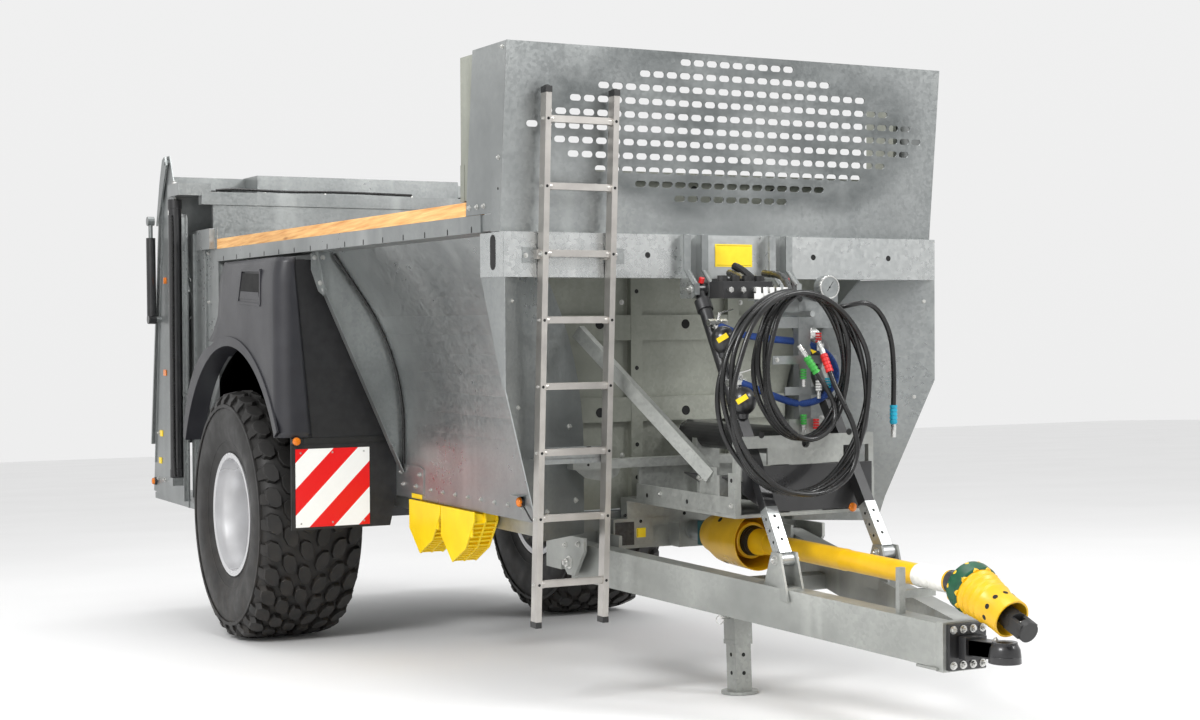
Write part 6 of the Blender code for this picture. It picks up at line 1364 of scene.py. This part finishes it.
def console_details():
    d = Piece("zinc_dull", "hole", "bolt", "galvanised", "amber", "cap_black")
    # Near-black discs on the console sides and front: painted shade for its holes.
    for side in SIDES.values():
        for x in (3.30, 3.648):
            disc_mark(d.use("hole"), (x, side * 0.3482, 1.04), (0, side, 0), 0.010)
        d.use("bolt").bolt((3.75, side * 0.3405, 1.15), (0, side, 0), 0.013)
        d.bolt((3.42, side * 0.3485, 1.055), (0, side, 0), 0.009)
        d.use("zinc_dull").block((3.984, side * 0.350, 1.024), (4.036, side * 0.338, 1.185))
        d.use("hole").rod((4.01, side * 0.3503, 1.155), (4.01, side * 0.3510, 1.155), 0.009)
        d.use("bolt").bolt((4.01, side * 0.351, 1.05), (0, side, 0), 0.010)
        d.use("hole")
        for y in (0.22, 0.10):
            disc_mark(d, (4.0375, side * y, 1.34), (1, 0, 0), 0.014)
    for y in (-0.62, -0.52):
        disc_mark(d.use("hole"), (3.26, y, 1.183), (1, 0, 0), 0.006)
    d.use("zinc_dull").slab([(-0.66, 1.164), (-0.60, 1.12), (-0.50, 1.10), (-0.44, 1.125), (-0.42, 1.164)], "YZ", 3.19, 3.196)
    lamp(d, (4.02, 0.235, 1.02), (1, 0, 0), 0.022)
    d.finish("console_details", "chassis", "galvanised", bevel=0.001)
    # Black front plate and black belly sheet under the tray: partly a real black plate, partly painted shade for the
    # tray's shadowed underside and the shadows of the hose pile.
    a = Piece("black_steel", "cap_black")
    front = [(-0.315, 1.212), (-0.315, 1.10), (-0.20, 1.018), (0.335, 1.018), (0.335, 1.212)]
    a.slab(front, "YZ", 4.0374, 4.0404)
    shaded_belly_sheet = [(-0.335, 1.165), (-0.14, 1.055), (0.02, 1.052), (0.335, 1.155), (0.332, 1.149), (0.022, 1.046),
             (-0.142, 1.049), (-0.333, 1.159)]
    a.slab(shaded_belly_sheet, "YZ", 3.60, 4.025)
    a.use("cap_black").rod((3.86, -0.06, 1.035), (3.86, 0.10, 1.035), 0.035, segments=24)
    a.finish("console_apron_and_painted_shade", "chassis", "black_steel", bevel=0.0012)


console_details()

# ------------------------------------------------------------ rear end


def rear_details():
    for name, side in SIDES.items():
        out = (0, side, 0)
        p = Piece("galvanised", "bolt")
        y = side * 1.1202
        for z in (0.85, 1.05, 1.35, 1.65, 1.95, 2.25):
            p.use("bolt").bolt((-1.13, y, z), out, 0.010).bolt((-0.80, y, min(z, 1.1) if z < 1.2 else z), out, 0.010)
        p.use("galvanised").block((-0.93, side * 1.118, 2.27), (-0.66, side * 1.160, 2.395))
        p.block((-0.90, side * 1.12, 1.18), (-0.84, side * 1.135, 2.27)).block((-1.16, side * 1.12, 0.72), (-1.10, side * 1.135, 2.38))
        p.use("galvanised").bar((-0.615, side * 1.10, 2.16), (-0.20, side * 1.08, 1.78), 0.006, 0.05)
        p.finish("post_details_" + name, "chassis", "galvanised", bevel=0.0012)
        q = Piece("galvanised", "bolt", "amber", "red", "label", "cap_black", "hole", "hose_rubber", "white")
        face = side * (1.172 + SHEET + 0.0002)
        for x, z in ((-1.20, 2.42), (-1.30, 2.30), (-1.45, 2.1), (-1.35, 1.60), (-1.25, 1.33), (-1.45, 1.33), (-1.25, 1.98),
                     (-1.45, 1.98), (-1.80, 0.80), (-1.65, 0.80), (-1.50, 0.80), (-1.30, 0.80), (-1.20, 0.95), (-1.78, 1.1)):
            q.use("bolt").bolt((x, face, z), out, 0.011)
        for z in (1.33, 1.98):
            q.use("galvanised").rod((-1.37, face, z), (-1.37, side * 1.196, z), 0.085, segments=32)
            q.use("cap_black").rod((-1.37, side * 1.196, z), (-1.37, side * 1.208, z), 0.040, 0.034)
            for i in range(4):
                a = pi / 4 + i * pi / 2
                q.use("bolt").bolt((-1.37 + 0.064 * cos(a), side * 1.196, z + 0.064 * sin(a)), out, 0.008)
        for x, z, key in ((-1.60, 2.10, "amber"), (-1.62, 1.50, "amber"), (-1.72, 1.10, "label"), (-1.75, 0.92, "label")):
            q.use(key).block((x - 0.03, face, z - 0.02), (x + 0.03, side * 1.184, z + 0.02))
        lamp(q, (-1.875, face, 0.775), out, 0.024)
        q.use("galvanised").bar((-1.12, side * 1.182, 0.70), (-1.12, side * 1.182, 2.49), 0.012, 0.04, (0, 1, 0))
        q.use("galvanised").bar((-1.87, side * 1.181, 0.9), (-1.62, side * 1.181, 2.62), 0.006, 0.012, (0, 1, 0))
        q.use("hose_rubber").tube(smooth_line([(-1.19, side * 1.20, 1.95), (-1.22, side * 1.215, 1.70), (-1.30, side * 1.20, 1.45),
                                               (-1.28, side * 1.21, 1.1), (-1.22, side * 1.20, 0.92), (-1.17, side * 1.21, 0.86)], 0.05), 0.008)
        q.finish("side_details_" + name, "chassis", "galvanised", bevel=0.0012)
        c = Piece("black_steel", "chrome", "hose_rubber")
        c.rod((-1.17, side * 1.23, 0.852), (-1.17, side * 1.23, 0.90), 0.0435, segments=32)
        c.lathe([(0.0272, 2.54), (0.0438, 2.54), (0.0438, 2.598), (0.038, 2.5995), (0.0272, 2.5995)], (-1.17, side * 1.23, 0), (0, 0, 1), 32)
        c.lathe([(0.0272, 0.90), (0.041, 0.90), (0.041, 2.54), (0.0272, 2.54)], (-1.17, side * 1.23, 0), (0, 0, 1), 32)
        c.use("chrome").rod((-1.17, side * 1.268, 2.50), (-1.17, side * 1.268, 2.53), 0.006)
        c.use("hose_rubber").tube(smooth_line([(-1.13, side * 1.262, 2.50), (-1.12, side * 1.262, 2.3), (-1.125, side * 1.262, 1.6),
                                               (-1.12, side * 1.262, 0.95), (-1.13, side * 1.245, 0.86)], 0.1), 0.008)
        c.finish("lift_cylinder_" + name, "chassis", "black_steel", bevel=0.0012, replaces=("lift_barrel_" + name,))
    g = Piece("galvanised", "bolt", "hose_rubber", "cap_black", "chrome")
    for side in SIDES.values():
        g.use("bolt").bolt((-1.17, side * 1.23, 2.69), (0, 0, 1), 0.018)
        for y in (0.3, 0.7, 1.0):
            g.bolt((-0.99, side * y, 2.6405), (0, 0, 1), 0.010)
    g.use("hose_rubber").tube(smooth_line([(-0.98, -1.02, 2.65), (-0.98, -0.9, 2.66), (-0.985, -0.55, 2.655), (-0.98, -0.2, 2.66),
                                           (-0.99, 0.3, 2.655)], 0.05), 0.009)
    g.finish("gate_details", "gate", "galvanised", bevel=0.0012)


def flap_details():
    f = Piece("galvanised", "bolt", "stripes", "red", "amber", "white", "cap_black", "label", "plate", "hole")

    def on_flap(z, out=0.0):
        share = (z - 0.71) / (2.75 - 0.71)
        return -1.93 + (-1.60 + 1.93) * share - 0.05 - out

    tilt = Vector((0.33, 0, 2.04)).normalized()
    for z in (1.08, 1.50, 1.92, 2.34, 2.68):
        f.use("galvanised").bar((on_flap(z, 0.014), -1.13, z), (on_flap(z, 0.014), 1.13, z), 0.03, 0.06, tilt)
    for y in (-1.12, -0.38, 0.38, 1.12):
        f.bar((on_flap(1.05, 0.010), y, 1.05), (on_flap(2.70, 0.010), y, 2.70), 0.05, 0.02, (-1, 0, 0))
        for z in (1.2, 1.7, 2.15, 2.5):
            f.use("bolt").bolt((on_flap(z, 0.020), y, z), (-1, 0, 0.16), 0.010)
        f.use("galvanised")
    for side in SIDES.values():
        f.use("cap_black").bar((on_flap(1.22, 0.03), side * 0.72, 1.22), (on_flap(1.22, 0.03), side * 1.02, 1.22), 0.03, 0.12)
        for i, key in enumerate(("amber", "red", "red")):
            y = side * (0.98 - 0.10 * i)
            f.use(key).rod((on_flap(1.22, 0.043), y, 1.22), (on_flap(1.22, 0.052), y, 1.22), 0.042, 0.038, segments=28)
        f.use("stripes").bar((on_flap(1.72, 0.022), side * 0.74, 1.72), (on_flap(1.72, 0.022), side * 1.08, 1.72), 0.004, 0.34)
    f.use("white").bar((on_flap(1.24, 0.024), -0.26, 1.24), (on_flap(1.24, 0.024), 0.26, 1.24), 0.006, 0.12)
    f.finish("flap_details", "flap", "galvanised", bevel=0.0012)


rear_details()
flap_details()


def inner_details():
    b = Piece("galvanised", "bolt")
    for level, z in (("lower", 1.33), ("upper", 1.98)):
        p = Piece("galvanised", "bolt")
        for i in range(12):
            y = -1.12 + 0.09 + i * (2.24 - 0.18) / 11
            a = radians(75 * i + 20)
            out = Vector((cos(a), 0, -sin(a)))
            normal = Vector((sin(a), 0, cos(a)))
            root = Vector((-1.37, y, z)) + out * 0.17
            for k in (-0.025, 0.025):
                p.use("bolt").bolt(root + Vector((0, k, 0)) + normal * 0.012, normal, 0.010)
        for i in range(13):
            y = -1.10 + i * 2.2 / 12
            p.use("galvanised").lathe([(0.108, y - 0.004), (0.145, y - 0.004), (0.145, y + 0.004), (0.108, y + 0.004)], (-1.37, 0, z), (0, 1, 0), 32)
        p.finish("beater_rings_" + level, "beater_" + level, "galvanised", bevel=0.0008)
    for name, side in SIDES.items():
        p = Piece("galvanised", "bolt")
        p.lathe([(0.44, 0.856), (0.4495, 0.856), (0.4495, 0.870), (0.44, 0.870)], (-1.43, side * 0.52, 0), (0, 0, 1), 64)
        for i in range(6):
            a = i * pi / 3
            p.use("bolt").bolt((-1.43 + 0.10 * cos(a), side * 0.52 + 0.10 * sin(a), 0.8605), (0, 0, 1), 0.010)
        p.finish("disc_rim_" + name, "disc_" + name, "galvanised", bevel=0.0006)
    b.bm.free()


inner_details()

for name, width in (("drawbar", 0.004), ("front_frame", 0.0022), ("chassis_frame", 0.003), ("front_beam", 0.003),
                    ("ladder", 0.002), ("jack_leg", 0.003), ("push_shield", 0.002), ("gate", 0.002), ("flap", 0.0015),
                    ("hitch_coupling", 0.003), ("wood_rail_left", 0.004), ("wood_rail_right", 0.004),
                    ("mud_board_left", 0.002), ("mud_board_right", 0.002), ("spreader_top", 0.003),
                    ("spreader_deck", 0.002), ("axle_beam", 0.003), ("hose_holder", 0.001)):
    soften(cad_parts[name], width)
